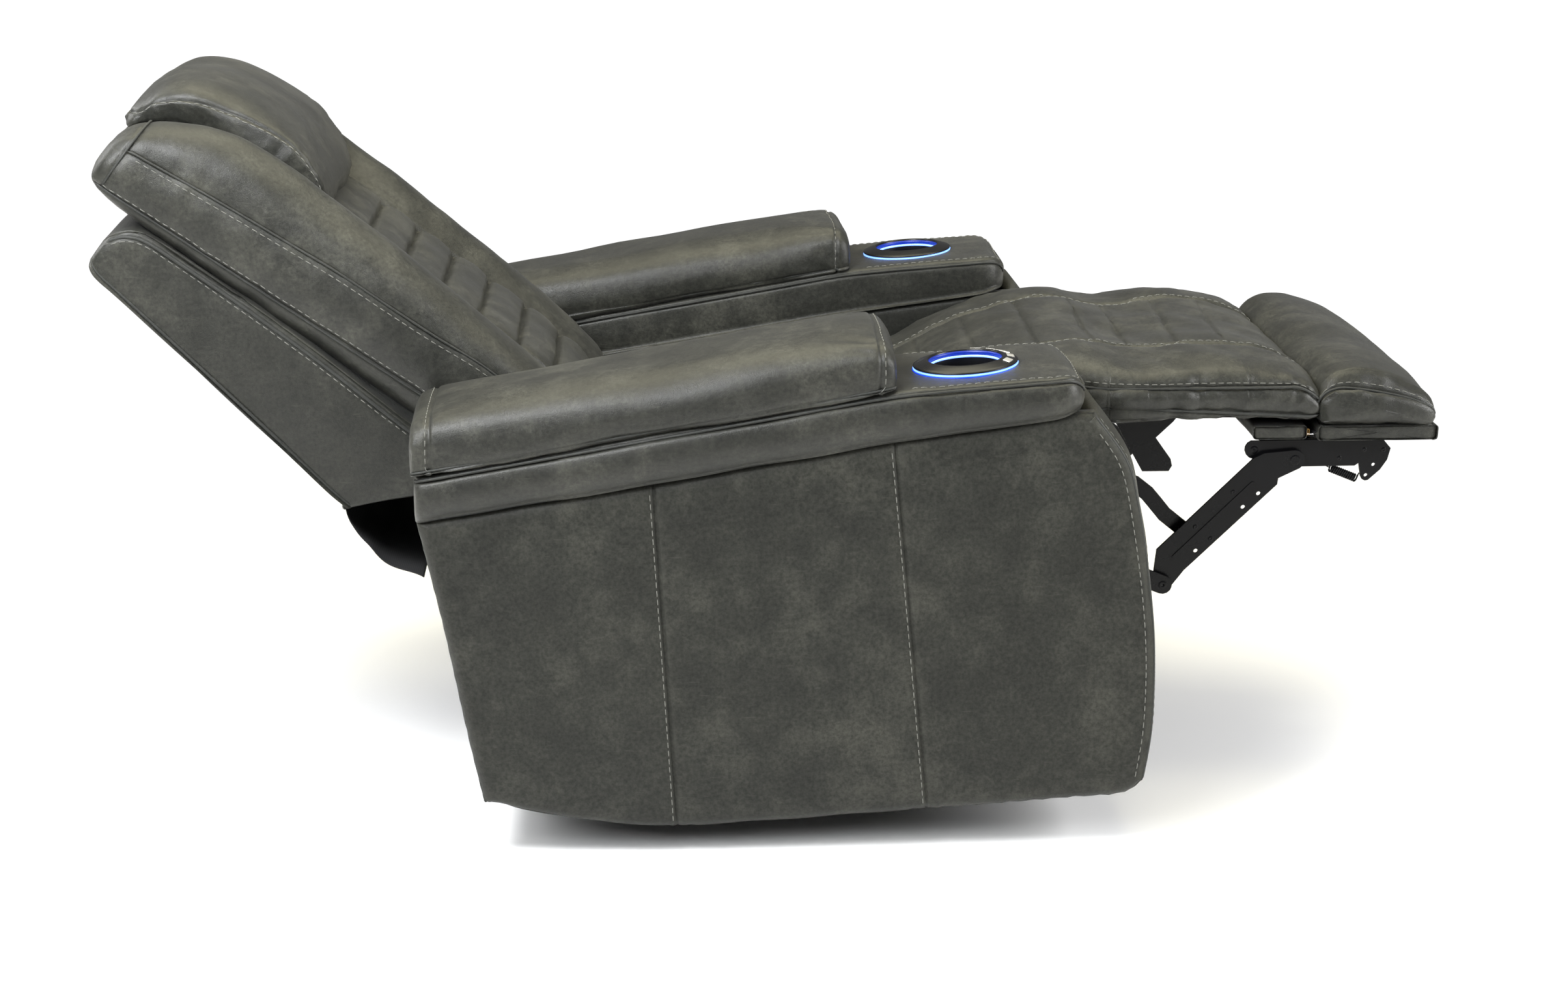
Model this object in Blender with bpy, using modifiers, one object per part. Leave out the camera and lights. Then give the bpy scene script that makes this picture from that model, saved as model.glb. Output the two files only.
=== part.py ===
"""Power recliner armchair on a rocker base, shown fully reclined with the leg rest out.

+X is the way the sitter faces, +Y the sitter's left and +Z up, in metres. The origin is on the floor,
under the middle of the whole chair. Side -1 is the sitter's right arm and side +1 the left arm.
"""

import math

import bmesh
import bpy
from mathutils import Matrix, Vector

# Driving dimensions
HALF_WIDTH = 0.49
ARM_WIDTH = 0.21
ARM_INNER = HALF_WIDTH - ARM_WIDTH
SKIN = 0.03  # a padded outer panel
BOARD = 0.02  # a plywood arm panel
SHEET = 0.004  # a pressed steel link
TOUCH = 0.0003  # what touching pieces keep between them
RUNNING = 0.0004  # a pin in its hole

ROCK_AXIS = Vector((0, 0, 1.0))
ROCK_RADIUS = 0.965
BASE_TOP = 0.0345

RECLINE_AXIS = Vector((-0.31, 0, 0.35))
RECLINE_ANGLE = math.radians(37)  # the back above the horizontal, fully reclined
HEAD_AXIS_UV = (0.475, 0.188)
HEAD_END_RADIUS = 0.034

LEG_AXIS = Vector((0.40, 0, 0.475))
FRONT_PIVOT = (0.24, 0.37)  # front link on the mechanism plate
KNEE_PIVOT = (0.49, 0.267)  # main link on the front link
OTTOMAN_PIVOT = (0.655, 0.427)  # the open pivot, on the ottoman bracket
CROSS_PIVOT = (0.302, 0.369)  # cross link on the mechanism plate
CROSS_END = (0.535, 0.318)  # the open end, behind the main link
PIN = 0.006

# Distances from the middle plane to the inner face of each layer of the linkage
HINGE_PLATE_Y = 0.233
CROSS_LINK_Y = 0.2415
BRACKET_Y = 0.250
MAIN_LINK_Y = 0.2585
FRONT_LINK_Y = 0.267
MECHANISM_Y = 0.2747

ARM_TOP_REAR = Vector((-0.441, 0, 0.476))
ARM_TOP_FRONT = Vector((0.133, 0, 0.574))
DECK_FRONT = Vector((0.335, 0, 0.589))
LID_BOARD = 0.010
LID_THICKNESS = 0.066

CUP_X = 0.220
CUP_Y = HALF_WIDTH - ARM_WIDTH / 2
CUP_TILT = math.atan2(DECK_FRONT.z - ARM_TOP_FRONT.z, DECK_FRONT.x - ARM_TOP_FRONT.x)
CUP_FLANGE = 0.0635
CUP_BORE = 0.0475
BUTTON_RADIUS = 0.0545
BUTTONS = {
    "recline_button": -27,
    "upright_button": 0,
    "headrest_up_button": 24,
    "headrest_down_button": 47,
    "light_button": 70,
}

SIDES = {"right": -1, "left": 1}

LID_AXIS = Vector((-0.154, HALF_WIDTH - 0.0003, 0.5255))  # on the left arm, along its slope

# joint: (a place on its axis, the names that its pieces start with)
MOVING = {
    "recline": (RECLINE_AXIS, ("back_", "outer_back_shell", "rear_flap")),
    "headrest_tilt": (Vector((-0.5762, 0, 0.7860)), ("head_pillow", "headrest_board")),
    "leg_rest_fold": (LEG_AXIS, ("chaise_", "footrest_", "flipper_", "ottoman_", "leg_hinge_")),
    "front_link_swing": (Vector((FRONT_PIVOT[0], 0, FRONT_PIVOT[1])), ("front_link_",)),
    "main_link_swing": (Vector((KNEE_PIVOT[0], 0, KNEE_PIVOT[1])), ("main_link_",)),
    "cross_link_swing": (Vector((CROSS_PIVOT[0], 0, CROSS_PIVOT[1])), ("cross_link_",)),
    "lid_right": (LID_AXIS * Vector((1, -1, 1)), ("lid_board_right", "arm_pad_right")),
    "lid_left": (LID_AXIS, ("lid_board_left", "arm_pad_left")),
}

# name: (colour, roughness, metallic)
FINISHES = {
    "leather": ((0.085, 0.088, 0.080), 0.48, 0.0),
    "dark_leather": ((0.060, 0.063, 0.060), 0.45, 0.0),
    "wood": ((0.55, 0.38, 0.22), 0.6, 0.0),
    "steel": ((0.02, 0.02, 0.022), 0.35, 0.8),
    "black_plastic": ((0.015, 0.015, 0.016), 0.2, 0.0),
    "silver": ((0.62, 0.61, 0.58), 0.35, 0.6),
    "light": ((0.15, 0.35, 1.0), 0.3, 0.0),
    "cloth": ((0.012, 0.012, 0.013), 0.85, 0.0),
}


def clear_scene():
    for obj in list(bpy.data.objects):
        bpy.data.objects.remove(obj, do_unlink=True)


def new_collection(name, hidden=False):
    collection = bpy.data.collections.new(name)
    bpy.context.scene.collection.children.link(collection)
    collection.hide_render = hidden
    return collection


def material(name):
    """The finish's material, made once."""
    found = bpy.data.materials.get(name)
    if found:
        return found
    colour, roughness, metallic = FINISHES[name]
    made = bpy.data.materials.new(name)
    made.use_nodes = True
    shader = made.node_tree.nodes["Principled BSDF"]
    shader.inputs["Base Color"].default_value = (*colour, 1)
    shader.inputs["Roughness"].default_value = roughness
    shader.inputs["Metallic"].default_value = metallic
    return made


def add_object(name, mesh, finish):
    obj = bpy.data.objects.new(name, mesh)
    mesh.materials.clear()
    mesh.materials.append(material(finish))
    PARTS.objects.link(obj)
    return obj


def as_cutter(obj):
    """Moves a finished shape to the cutters, where the build leaves it out."""
    PARTS.objects.unlink(obj)
    CUTTERS.objects.link(obj)
    obj.hide_render = True
    obj.display_type = "WIRE"
    return obj


def boolean(obj, other, operation):
    modifier = obj.modifiers.new(operation.title(), "BOOLEAN")
    modifier.operation = operation
    modifier.object = as_cutter(other)
    return obj


def cut(obj, other):
    return boolean(obj, other, "DIFFERENCE")


def join(obj, other):
    return boolean(obj, other, "UNION")


def soften(obj, width, segments=2):
    """Rounds the sharp edges of an extruded outline."""
    bevel = obj.modifiers.new("Bevel", "BEVEL")
    bevel.width = width
    bevel.segments = segments
    bevel.limit_method = "ANGLE"
    bevel.angle_limit = math.radians(40)
    return obj


def circle(centre, radius, steps=16):
    return arc(centre, radius, 0, 360 * (steps - 1) / steps, steps)


def arc(centre, radius, start, end, steps):
    """Points from angle start to end, in degrees from the first axis towards the second."""
    turns = [math.radians(start + (end - start) * i / (steps - 1)) for i in range(steps)]
    return [(centre[0] + radius * math.cos(t), centre[1] + radius * math.sin(t)) for t in turns]


def through(points, steps=3):
    """A smooth open line through the points (Catmull-Rom)."""
    line = []
    for i in range(len(points) - 1):
        near = (max(i - 1, 0), i, i + 1, min(i + 2, len(points) - 1))
        before, a, b, after = (Vector(points[k]) for k in near)
        for t in (k / steps for k in range(steps)):
            bend = (b - before) * t + (2 * before - 5 * a + 4 * b - after) * t**2
            bend += (3 * a - before - 3 * b + after) * t**3
            line.append(tuple(a + bend / 2))
    return [*line, tuple(points[-1])]


def band(path, thickness):
    """The closed outline of a strip: the path, and the same path moved to its left side."""
    moved = []
    for i, point in enumerate(path):
        along = Vector(path[min(i + 1, len(path) - 1)]) - Vector(path[max(i - 1, 0)])
        along.normalize()
        moved.append((point[0] - along.y * thickness, point[1] + along.x * thickness))
    return [*path, *reversed(moved)]


def capsule(a, b, radius, steps=8):
    """A bar's outline between two pivots, with round ends."""
    heading = math.degrees(math.atan2(b[1] - a[1], b[0] - a[0]))
    far = arc(b, radius, heading - 90, heading + 90, steps)
    return far + arc(a, radius, heading + 90, heading + 270, steps)


def slab(name, finish, outline, y_low, y_high, holes=()):
    """An outline in XZ, with holes, filled and extruded from y_low to y_high, as a welded mesh."""
    curve = bpy.data.curves.new(name, "CURVE")
    curve.dimensions = "2D"
    curve.fill_mode = "BOTH"
    curve.extrude = abs(y_high - y_low) / 2
    for loop in (outline, *holes):
        spline = curve.splines.new("POLY")
        spline.points.add(len(loop) - 1)
        for point, (x, z) in zip(spline.points, loop):
            point.co = (x, z, 0, 1)
        spline.use_cyclic_u = True
    drawn = bpy.data.objects.new(name, curve)
    PARTS.objects.link(drawn)
    drawn.rotation_euler.x = math.radians(90)
    drawn.location.y = (y_low + y_high) / 2
    return mesh_from(drawn, name, finish)


def mesh_from(drawn, name, finish):
    """The curve object's own mesh, its caps welded and its transform applied."""
    bpy.context.view_layer.update()
    graph = bpy.context.evaluated_depsgraph_get()
    mesh = bpy.data.meshes.new_from_object(drawn.evaluated_get(graph))
    shape = bmesh.new()
    shape.from_mesh(mesh)
    shape.transform(drawn.matrix_world)
    bmesh.ops.remove_doubles(shape, verts=shape.verts, dist=1e-6)
    bmesh.ops.dissolve_limit(shape, angle_limit=1e-4, verts=shape.verts, edges=shape.edges)
    bmesh.ops.recalc_face_normals(shape, faces=shape.faces)
    shape.to_mesh(mesh)
    shape.free()
    bpy.data.objects.remove(drawn, do_unlink=True)
    mesh.name = name
    return add_object(name, mesh, finish)


def block(name, finish, low, high):
    """A box between two corners."""
    bpy.ops.mesh.primitive_cube_add(size=1)
    obj = bpy.context.object
    mesh = obj.data
    size = Vector(high) - Vector(low)
    middle = (Vector(high) + Vector(low)) / 2
    mesh.transform(Matrix.Translation(middle) @ Matrix.Diagonal((*size, 1)))
    bpy.data.objects.remove(obj, do_unlink=True)
    mesh.name = name
    return add_object(name, mesh, finish)


def rod(name, finish, x, z, y_low, y_high, radius, sides=16):
    """A round bar along Y."""
    return slab(name, finish, circle((x, z), radius, sides), y_low, y_high)


def turned(name, finish, profile, steps=40):
    """A profile of (radius, height), running down its outer side, turned about local Z.

    It is closed unless it ends on the axis.
    """
    mesh = bpy.data.meshes.new(name)
    edges = [(i, i + 1) for i in range(len(profile) - 1)]
    if profile[-1][0] > 0:
        edges.append((len(profile) - 1, 0))
    mesh.from_pydata([(r, 0, z) for r, z in profile], edges, [])
    obj = add_object(name, mesh, finish)
    screw = obj.modifiers.new("Screw", "SCREW")
    screw.steps = screw.render_steps = steps
    screw.use_merge_vertices = True
    screw.merge_threshold = 0.00005
    return obj


def layer(side, inner, thickness):
    """(y_low, y_high) of a layer that starts at a distance from the middle plane, on one side."""
    ends = sorted((side * inner, side * (inner + thickness)))
    return ends[0], ends[1]


def back_point(u, v):
    """(x, z) of a place on the back: u up along it from the recline axis, v out of it towards the sitter."""
    x = RECLINE_AXIS.x - u * math.cos(RECLINE_ANGLE) + v * math.sin(RECLINE_ANGLE)
    z = RECLINE_AXIS.z + u * math.sin(RECLINE_ANGLE) + v * math.cos(RECLINE_ANGLE)
    return x, z


def on_back(points):
    return [back_point(u, v) for u, v in points]


def arm_top(x, above=0.0):
    """Height of the arm roll's sloping top at x, and a distance above it."""
    slope = (ARM_TOP_FRONT.z - ARM_TOP_REAR.z) / (ARM_TOP_FRONT.x - ARM_TOP_REAR.x)
    return ARM_TOP_REAR.z + (x - ARM_TOP_REAR.x) * slope + above


# The arm's outline seen from the side
FRONT_LINE = [(0.434, 0.084), (0.443, 0.152), (0.443, 0.252), (0.434, 0.340), (0.419, 0.428)]
FRONT_LINE += [(0.403, 0.486), (0.364, 0.541)]
FRONT_BULGE = 0.007  # how far the front panel stands out past the side panels
FOOT_LINE = [(-0.365, 0.082), (-0.326, 0.056), (-0.241, 0.041), (-0.137, 0.034), (0.168, 0.049)]
FOOT_LINE += [(0.330, 0.060), (0.410, 0.066), (0.434, 0.084)]
REAR_LINE = [(-0.436, 0.419), (-0.405, 0.290), (-0.379, 0.157), (-0.365, 0.082)]
ROLL_UNDERSIDE = [(0.364, 0.541), (0.272, 0.530), (0.125, 0.511), (-0.160, 0.464), (-0.436, 0.419)]


def arm_outline():
    return REAR_LINE[:-1] + through(FOOT_LINE, 2)[:-1] + through(FRONT_LINE, 2)[:-1] + ROLL_UNDERSIDE[:-1]


def make_base():
    """The fixed base: two runners that the rockers roll on, and two cross rails between them."""
    for word, side in SIDES.items():
        low, high = layer(side, 0.17, 0.055)
        runner = [(-0.295, 0), (0.295, 0), (0.295, 0.022), (0.27, BASE_TOP), (-0.27, BASE_TOP), (-0.295, 0.022)]
        slab(f"base_runner_{word}", "wood", runner, low, high)
    for word, x in (("front", 0.265), ("rear", -0.265)):
        block(f"base_rail_{word}", "wood", (x - 0.03, -0.17 + TOUCH, 0), (x + 0.03, 0.17 - TOUCH, 0.028))


def make_rockers():
    """Curved rocker boards, whose lower edge is an arc about the rocking axis."""
    half = math.degrees(math.asin(0.27 / ROCK_RADIUS))
    curve = arc((ROCK_AXIS.x, ROCK_AXIS.z), ROCK_RADIUS, -90 - half, -90 + half, 15)
    outline = curve + [(0.27, 0.3545), (-0.13, 0.3545), (-0.13, 0.25), (-0.27, 0.14)]
    tube_hole = circle((-0.02, 0.27), 0.0125 + RUNNING)
    for word, side in SIDES.items():
        slab(f"rocker_{word}", "wood", outline, *layer(side, 0.185, 0.025), holes=[tube_hole])


def make_mechanism():
    """Steel side plates with the linkage's fixed pivots, and the tube that ties them."""
    plate = [(-0.10, 0.40), (0.315, 0.402), (0.326, 0.386), (0.320, 0.350), (0.25, 0.325)]
    plate += [(0.06, 0.20), (-0.10, 0.20)]
    for word, side in SIDES.items():
        obj = slab(f"mechanism_plate_{word}", "steel", plate, *layer(side, MECHANISM_Y, 0.005))
        join(obj, pin_towards_middle(side, FRONT_PIVOT, MECHANISM_Y, FRONT_LINK_Y))
        join(obj, pin_towards_middle(side, CROSS_PIVOT, MECHANISM_Y, CROSS_LINK_Y))
    rod("cross_tube", "steel", -0.02, 0.27, -MECHANISM_Y + TOUCH, MECHANISM_Y - TOUCH, 0.0125)


def pin_towards_middle(side, pivot, start, end):
    """A pivot pin from one layer's inner face, reaching 1.5 mm past the layer that turns on it."""
    low, high = sorted((side * (start + 0.002), side * (end - 0.0015)))
    return rod("pin", "steel", *pivot, low, high, PIN)


def pivot_hole(pivot):
    return circle(pivot, PIN + RUNNING)


def make_arm(word, side):
    """One arm: outer, inner and front panels, the padded roll around its top, and the storage well."""
    outer = slab(f"arm_outer_panel_{word}", "leather", arm_outline(), *layer(side, HALF_WIDTH - SKIN, SKIN))
    soften(outer, 0.004)
    shaft_hole = circle((RECLINE_AXIS.x, RECLINE_AXIS.z), 0.008 + RUNNING)
    inner = layer(side, ARM_INNER, BOARD)
    slab(f"arm_inner_panel_{word}", "leather", arm_outline(), *inner, holes=[shaft_hole])
    bulged = [(x + FRONT_BULGE, z) for x, z in through(FRONT_LINE, 2)]
    front = band(bulged, 0.022 + FRONT_BULGE)
    depth = ARM_WIDTH - SKIN - BOARD - 2 * TOUCH
    slab(f"arm_front_panel_{word}", "leather", front, *layer(side, ARM_INNER + BOARD + TOUCH, depth))
    make_arm_roll(word, side)
    make_storage_well(word, side)


def make_arm_roll(word, side):
    """The padded band along the arm's top, with a deck at the front and a frame round the storage well."""
    under = [(x, z + 2 * TOUCH) for x, z in reversed(ROLL_UNDERSIDE[1:-1])]
    outline = [(-0.436, 0.421), *under, (0.341, 0.5405), (0.355, 0.553), (0.353, 0.570), (0.347, 0.583)]
    outline += [(corner.x, corner.z) for corner in (DECK_FRONT, ARM_TOP_FRONT, ARM_TOP_REAR)]
    roll = slab(f"arm_roll_{word}", "leather", outline, *layer(side, ARM_INNER, ARM_WIDTH))
    soften(roll, 0.003)
    cut(roll, block("well_cut", "wood", *corners(side, (-0.3362, 0.3142, 0.30), (0.0562, 0.4558, 0.70))))
    bore = turned("bore_cut", "wood", [(0, 0.1), (CUP_BORE, 0.1), (CUP_BORE, -0.15), (0, -0.15)])
    bore.matrix_world = cup_frame(side)
    cut(roll, bore)


def corners(side, low, high):
    """The two corners of a box given for the left side, on either side."""
    y_low, y_high = sorted((side * low[1], side * high[1]))
    return (low[0], y_low, low[2]), (high[0], y_high, high[2])


def make_storage_well(word, side):
    """A plastic tray let into the roll: level floor, and a rim that follows the arm's slope."""
    rear, front, floor, wall = -0.3355, 0.0555, 0.366, 0.003
    outer = [(rear, floor), (front, floor), (front, arm_top(front, -0.0005)), (rear, arm_top(rear, -0.0005))]
    well = slab(f"storage_well_{word}", "black_plastic", outer, *layer(side, 0.315, 0.14))
    low, high = (rear + wall, 0.315 + wall, floor + wall), (front - wall, 0.455 - wall, 0.7)
    cut(well, block("tray_cut", "wood", *corners(side, low, high)))


def make_lid(word, side):
    """The padded armrest that opens as the storage lid, hinged on its outer edge."""
    rear, front = -0.439, 0.128
    board = [(rear, arm_top(rear, 0.001)), (front, arm_top(front, 0.001))]
    board += [(front, arm_top(front, LID_BOARD)), (rear, arm_top(rear, LID_BOARD))]
    slab(f"lid_board_{word}", "wood", board, *layer(side, 0.286, 0.203))
    bottom, top = LID_BOARD + 2 * TOUCH, LID_THICKNESS
    pad = [(-0.440, arm_top(-0.440, bottom)), (0.129, arm_top(0.129, bottom)), (0.1295, 0.612)]
    pad += [(0.106, arm_top(0.106, top)), (-0.402, arm_top(-0.402, top)), (-0.440, 0.520)]
    soften(slab(f"arm_pad_{word}", "leather", pad, *layer(side, 0.281, 0.2085)), 0.016, 3)


def cup_frame(side):
    """Where the cup holder's axis meets the deck, tilted with it."""
    height = ARM_TOP_FRONT.z + (CUP_X - ARM_TOP_FRONT.x) * math.tan(CUP_TILT)
    return Matrix.Translation((CUP_X, side * CUP_Y, height)) @ Matrix.Rotation(-CUP_TILT, 4, "Y")


def flange_height(radius):
    """The flange's conical top: 11 mm above the deck inside, 6 mm at its edge."""
    return 0.0062 + (0.0625 - radius) * 0.005 / 0.016


def make_cup_holder(word, side):
    """The cup with its conical flange, and the light ring between the flange and the deck."""
    lip = flange_height(0.0465)
    profile = [(0, -0.055), (0.0425, -0.055), (0.0438, -0.020), (0.0445, lip - 0.0012), (0.0465, lip)]
    profile += [(0.0625, flange_height(0.0625)), (CUP_FLANGE, 0.0050), (CUP_FLANGE - 0.0008, 0.0038)]
    profile += [(0.0465, 0.0038), (0.0455, -0.058), (0, -0.058)]
    cup = turned(f"cup_holder_{word}", "black_plastic", profile)
    cup.matrix_world = cup_frame(side)
    ring = [(0.0617, 0.0034), (0.0617, 0.0004), (0.0485, 0.0004), (0.0485, 0.0034)]
    turned(f"cup_light_{word}", "light", ring).matrix_world = cup_frame(side)
    return cup


def on_flange(side, turn, radius=BUTTON_RADIUS):
    """A frame on the flange's cone: Z out of it, X away from the cup's middle."""
    slope = math.atan2(0.005, 0.016)
    place = Matrix.Translation((radius, 0, flange_height(radius))) @ Matrix.Rotation(slope, 4, "Y")
    return cup_frame(side) @ Matrix.Rotation(math.radians(turn), 4, "Z") @ place


def make_controls(cup, side):
    """Five push buttons in pockets round the front of the flange, and a charging port behind."""
    for name, turn in BUTTONS.items():
        pocket = block("pocket_cut", "silver", (-0.0050, -0.0071, -0.0026), (0.0050, 0.0071, 0.02))
        pocket.matrix_world = on_flange(side, turn)
        cut(cup, pocket)
        button = block(name, "silver", (-0.0046, -0.0067, -0.0014), (0.0046, 0.0067, 0.0012))
        button.matrix_world = on_flange(side, turn)
        soften(button, 0.0007)
    pocket = block("port_cut", "silver", (-0.0041, -0.0071, -0.0021), (0.0041, 0.0071, 0.02))
    pocket.matrix_world = on_flange(side, 165)
    cut(cup, pocket)
    port = block("charging_port", "black_plastic", (-0.0038, -0.0068, -0.0018), (0.0038, 0.0068, 0.0003))
    port.matrix_world = on_flange(side, 165)


def make_seat():
    """The sprung seat deck on the rockers, and the seat cushion above it."""
    block("seat_deck", "wood", (-0.13, -0.215, 0.355), (0.31, 0.215, 0.4245))
    outline = [(-0.15, 0.425), (0.312, 0.425), (0.312, 0.479), (0.398, 0.479), (0.398, 0.548), (0.349, 0.556)]
    outline += [(0.264, 0.530), (0.180, 0.484), (0.06, 0.462), (-0.12, 0.462), (-0.15, 0.450)]
    soften(slab("seat_cushion", "leather", outline, -0.275, 0.275), 0.006)


def make_drive():
    """The recline actuator and the power box, hung under the seat deck."""
    actuator = block("recline_actuator", "steel", (-0.20, -0.018, 0.215), (0.14, 0.018, 0.245))
    join(actuator, block("motor", "steel", (0.05, -0.035, 0.19), (0.13, 0.035, 0.26)))
    join(actuator, block("hanger", "steel", (0.08, -0.012, 0.25), (0.10, 0.012, 0.3547)))
    power = block("power_box", "black_plastic", (0.17, -0.05, 0.300), (0.25, 0.05, 0.3547))
    cut(power, block("inlet_cut", "wood", (0.16, -0.007, 0.318), (0.182, 0.007, 0.332)))


def make_backrest():
    """Everything that reclines: frame and shaft, outer shell, its lower flap, and three cushions."""
    frame = on_back([(-0.022, -0.020), (-0.022, 0.040), (0.585, 0.038), (0.585, -0.020)])
    frame += on_back([(0.21, -0.028), (0.03, -0.028)])
    back_frame = slab("back_frame", "wood", frame, -0.25, 0.25)
    shaft_end = ARM_INNER + BOARD - 0.0005
    join(back_frame, rod("shaft", "steel", RECLINE_AXIS.x, RECLINE_AXIS.z, -shaft_end, shaft_end, 0.008))

    shell = on_back([(0.205, 0.024), (0.462, 0.030), (0.590, 0.028), (0.620, 0.013)])
    shell += on_back([(0.628, -0.035), (0.601, -0.052), (0.2016, -0.113)])
    outer_shell = slab("outer_back_shell", "dark_leather", shell, -0.277, 0.277)
    soften(outer_shell, 0.003)
    pocket = on_back([(0.15, -0.0284), (0.15, 0.06), (0.592, 0.06), (0.592, -0.0204), (0.21, -0.0284)])
    cut(outer_shell, slab("pocket_cut", "wood", pocket, -0.262, 0.262))

    drop = on_back([(0.2008, -0.111), (0.165, -0.133), (0.125, -0.1395), (0.0725, -0.130)])
    slab("rear_flap", "cloth", band(through(drop, 3), 0.008), -0.276, 0.276)

    lower_end = arc((RECLINE_AXIS.x, RECLINE_AXIS.z), 0.159, 10, 38, 3)
    bolster = on_back([(-0.03, 0.0455)]) + lower_end
    bolster += on_back([(0.0, 0.160), (0.121, 0.166), (0.30, 0.174), (0.430, 0.173), (0.436, 0.149)])
    bolster += on_back([(0.626, 0.149), (0.672, 0.130), (0.690, 0.100), (0.678, 0.060), (0.66, 0.0435)])
    for word, side in SIDES.items():
        soften(slab(f"back_bolster_{word}", "leather", bolster, *layer(side, 0.135, 0.140)), 0.012)
    centre = on_back([(-0.03, 0.0455)]) + lower_end
    centre += on_back([(0.0, 0.160), (0.06, 0.146), (0.626, 0.146), (0.672, 0.128)])
    centre += on_back([(0.690, 0.100), (0.678, 0.060), (0.66, 0.0435)])
    slab("back_centre_cushion", "leather", centre, -0.135 + TOUCH, 0.135 - TOUCH)


def make_headrest():
    """The head pillow, whose lower end is round about its tilt axis, and the board behind it."""
    end = arc(HEAD_AXIS_UV, HEAD_END_RADIUS, -90, -270, 8)
    top = [(0.527, 0.210), (0.622, 0.202), (0.660, 0.189), (0.690, 0.168), (0.697, 0.1585)]
    pillow = on_back([*end, *top, (0.505, 0.1585)])
    soften(slab("head_pillow", "leather", pillow, -0.18, 0.18), 0.010)
    board = on_back([(0.515, 0.1512), (0.515, 0.158), (0.68, 0.158), (0.68, 0.1512)])
    slab("headrest_board", "wood", board, -0.15, 0.15)


def make_leg_rest():
    """The leg rest: chaise pad, footrest cushion, the boards under them and their brackets."""
    pad = [(0.4015, 0.480), (0.675, 0.480), (0.676, 0.512), (0.66, 0.541), (0.60, 0.552)]
    pad += [(0.45, 0.552), (0.4015, 0.549)]
    soften(slab("chaise_pad", "leather", pad, -0.272, 0.272), 0.012)
    cushion = [(0.682, 0.470), (0.831, 0.470), (0.832, 0.500), (0.812, 0.520), (0.740, 0.535)]
    cushion += [(0.697, 0.528), (0.682, 0.505)]
    soften(slab("footrest_cushion", "leather", cushion, -0.272, 0.272), 0.012)
    soften(block("footrest_board", "leather", (0.682, -0.268, 0.4525), (0.832, 0.268, 0.4685)), 0.004)
    soften(block("flipper_board", "leather", (0.602, -0.262, 0.4545), (0.665, 0.262, 0.4700)), 0.004)
    for word, side in SIDES.items():
        make_ottoman_bracket(word, side)
        hinge = [(0.425, 0.4795), (0.508, 0.4795), (0.5025, 0.4725), (0.481, 0.452), (0.501, 0.424)]
        hinge += [(0.503, 0.415), (0.499, 0.408), (0.465, 0.408)]
        slab(f"leg_hinge_plate_{word}", "steel", hinge, *layer(side, HINGE_PLATE_Y, SHEET))


def make_ottoman_bracket(word, side):
    """A rail under the boards: a lug behind, a bar to the open pivot and a four-hole ear in front."""
    lug = (0.604, 0.439)
    outline = arc(lug, 0.012, 110, 290, 8) + arc(OTTOMAN_PIVOT, 0.0125, 215, 300, 4)
    outline += [(0.6735, 0.4163), (0.7335, 0.4165), (0.7385, 0.420), (0.7400, 0.411)]
    outline += arc((0.7486, 0.4037), 0.007, 190, 330, 5)
    outline += [(0.7665, 0.411), (0.7751, 0.424), (0.7788, 0.439), (0.768, 0.4515)]
    ear_holes = ((0.7459, 0.4368), (0.7684, 0.4365), (0.7577, 0.4174), (0.7486, 0.4037))
    holes = [circle(place, 0.0026, 8) for place in ear_holes]
    holes += [circle(lug, 0.004, 10), circle((0.7134, 0.4268), 0.003, 8)]
    ends = layer(side, BRACKET_Y, SHEET)
    bracket = slab(f"ottoman_bracket_{word}", "steel", outline, *ends, holes=holes)
    low, high = sorted((side * (BRACKET_Y + 0.002), side * (BRACKET_Y - 0.022)))
    join(bracket, block("rail_flange", "steel", (0.612, low, 0.4485), (0.732, high, 0.4515)))


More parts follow.
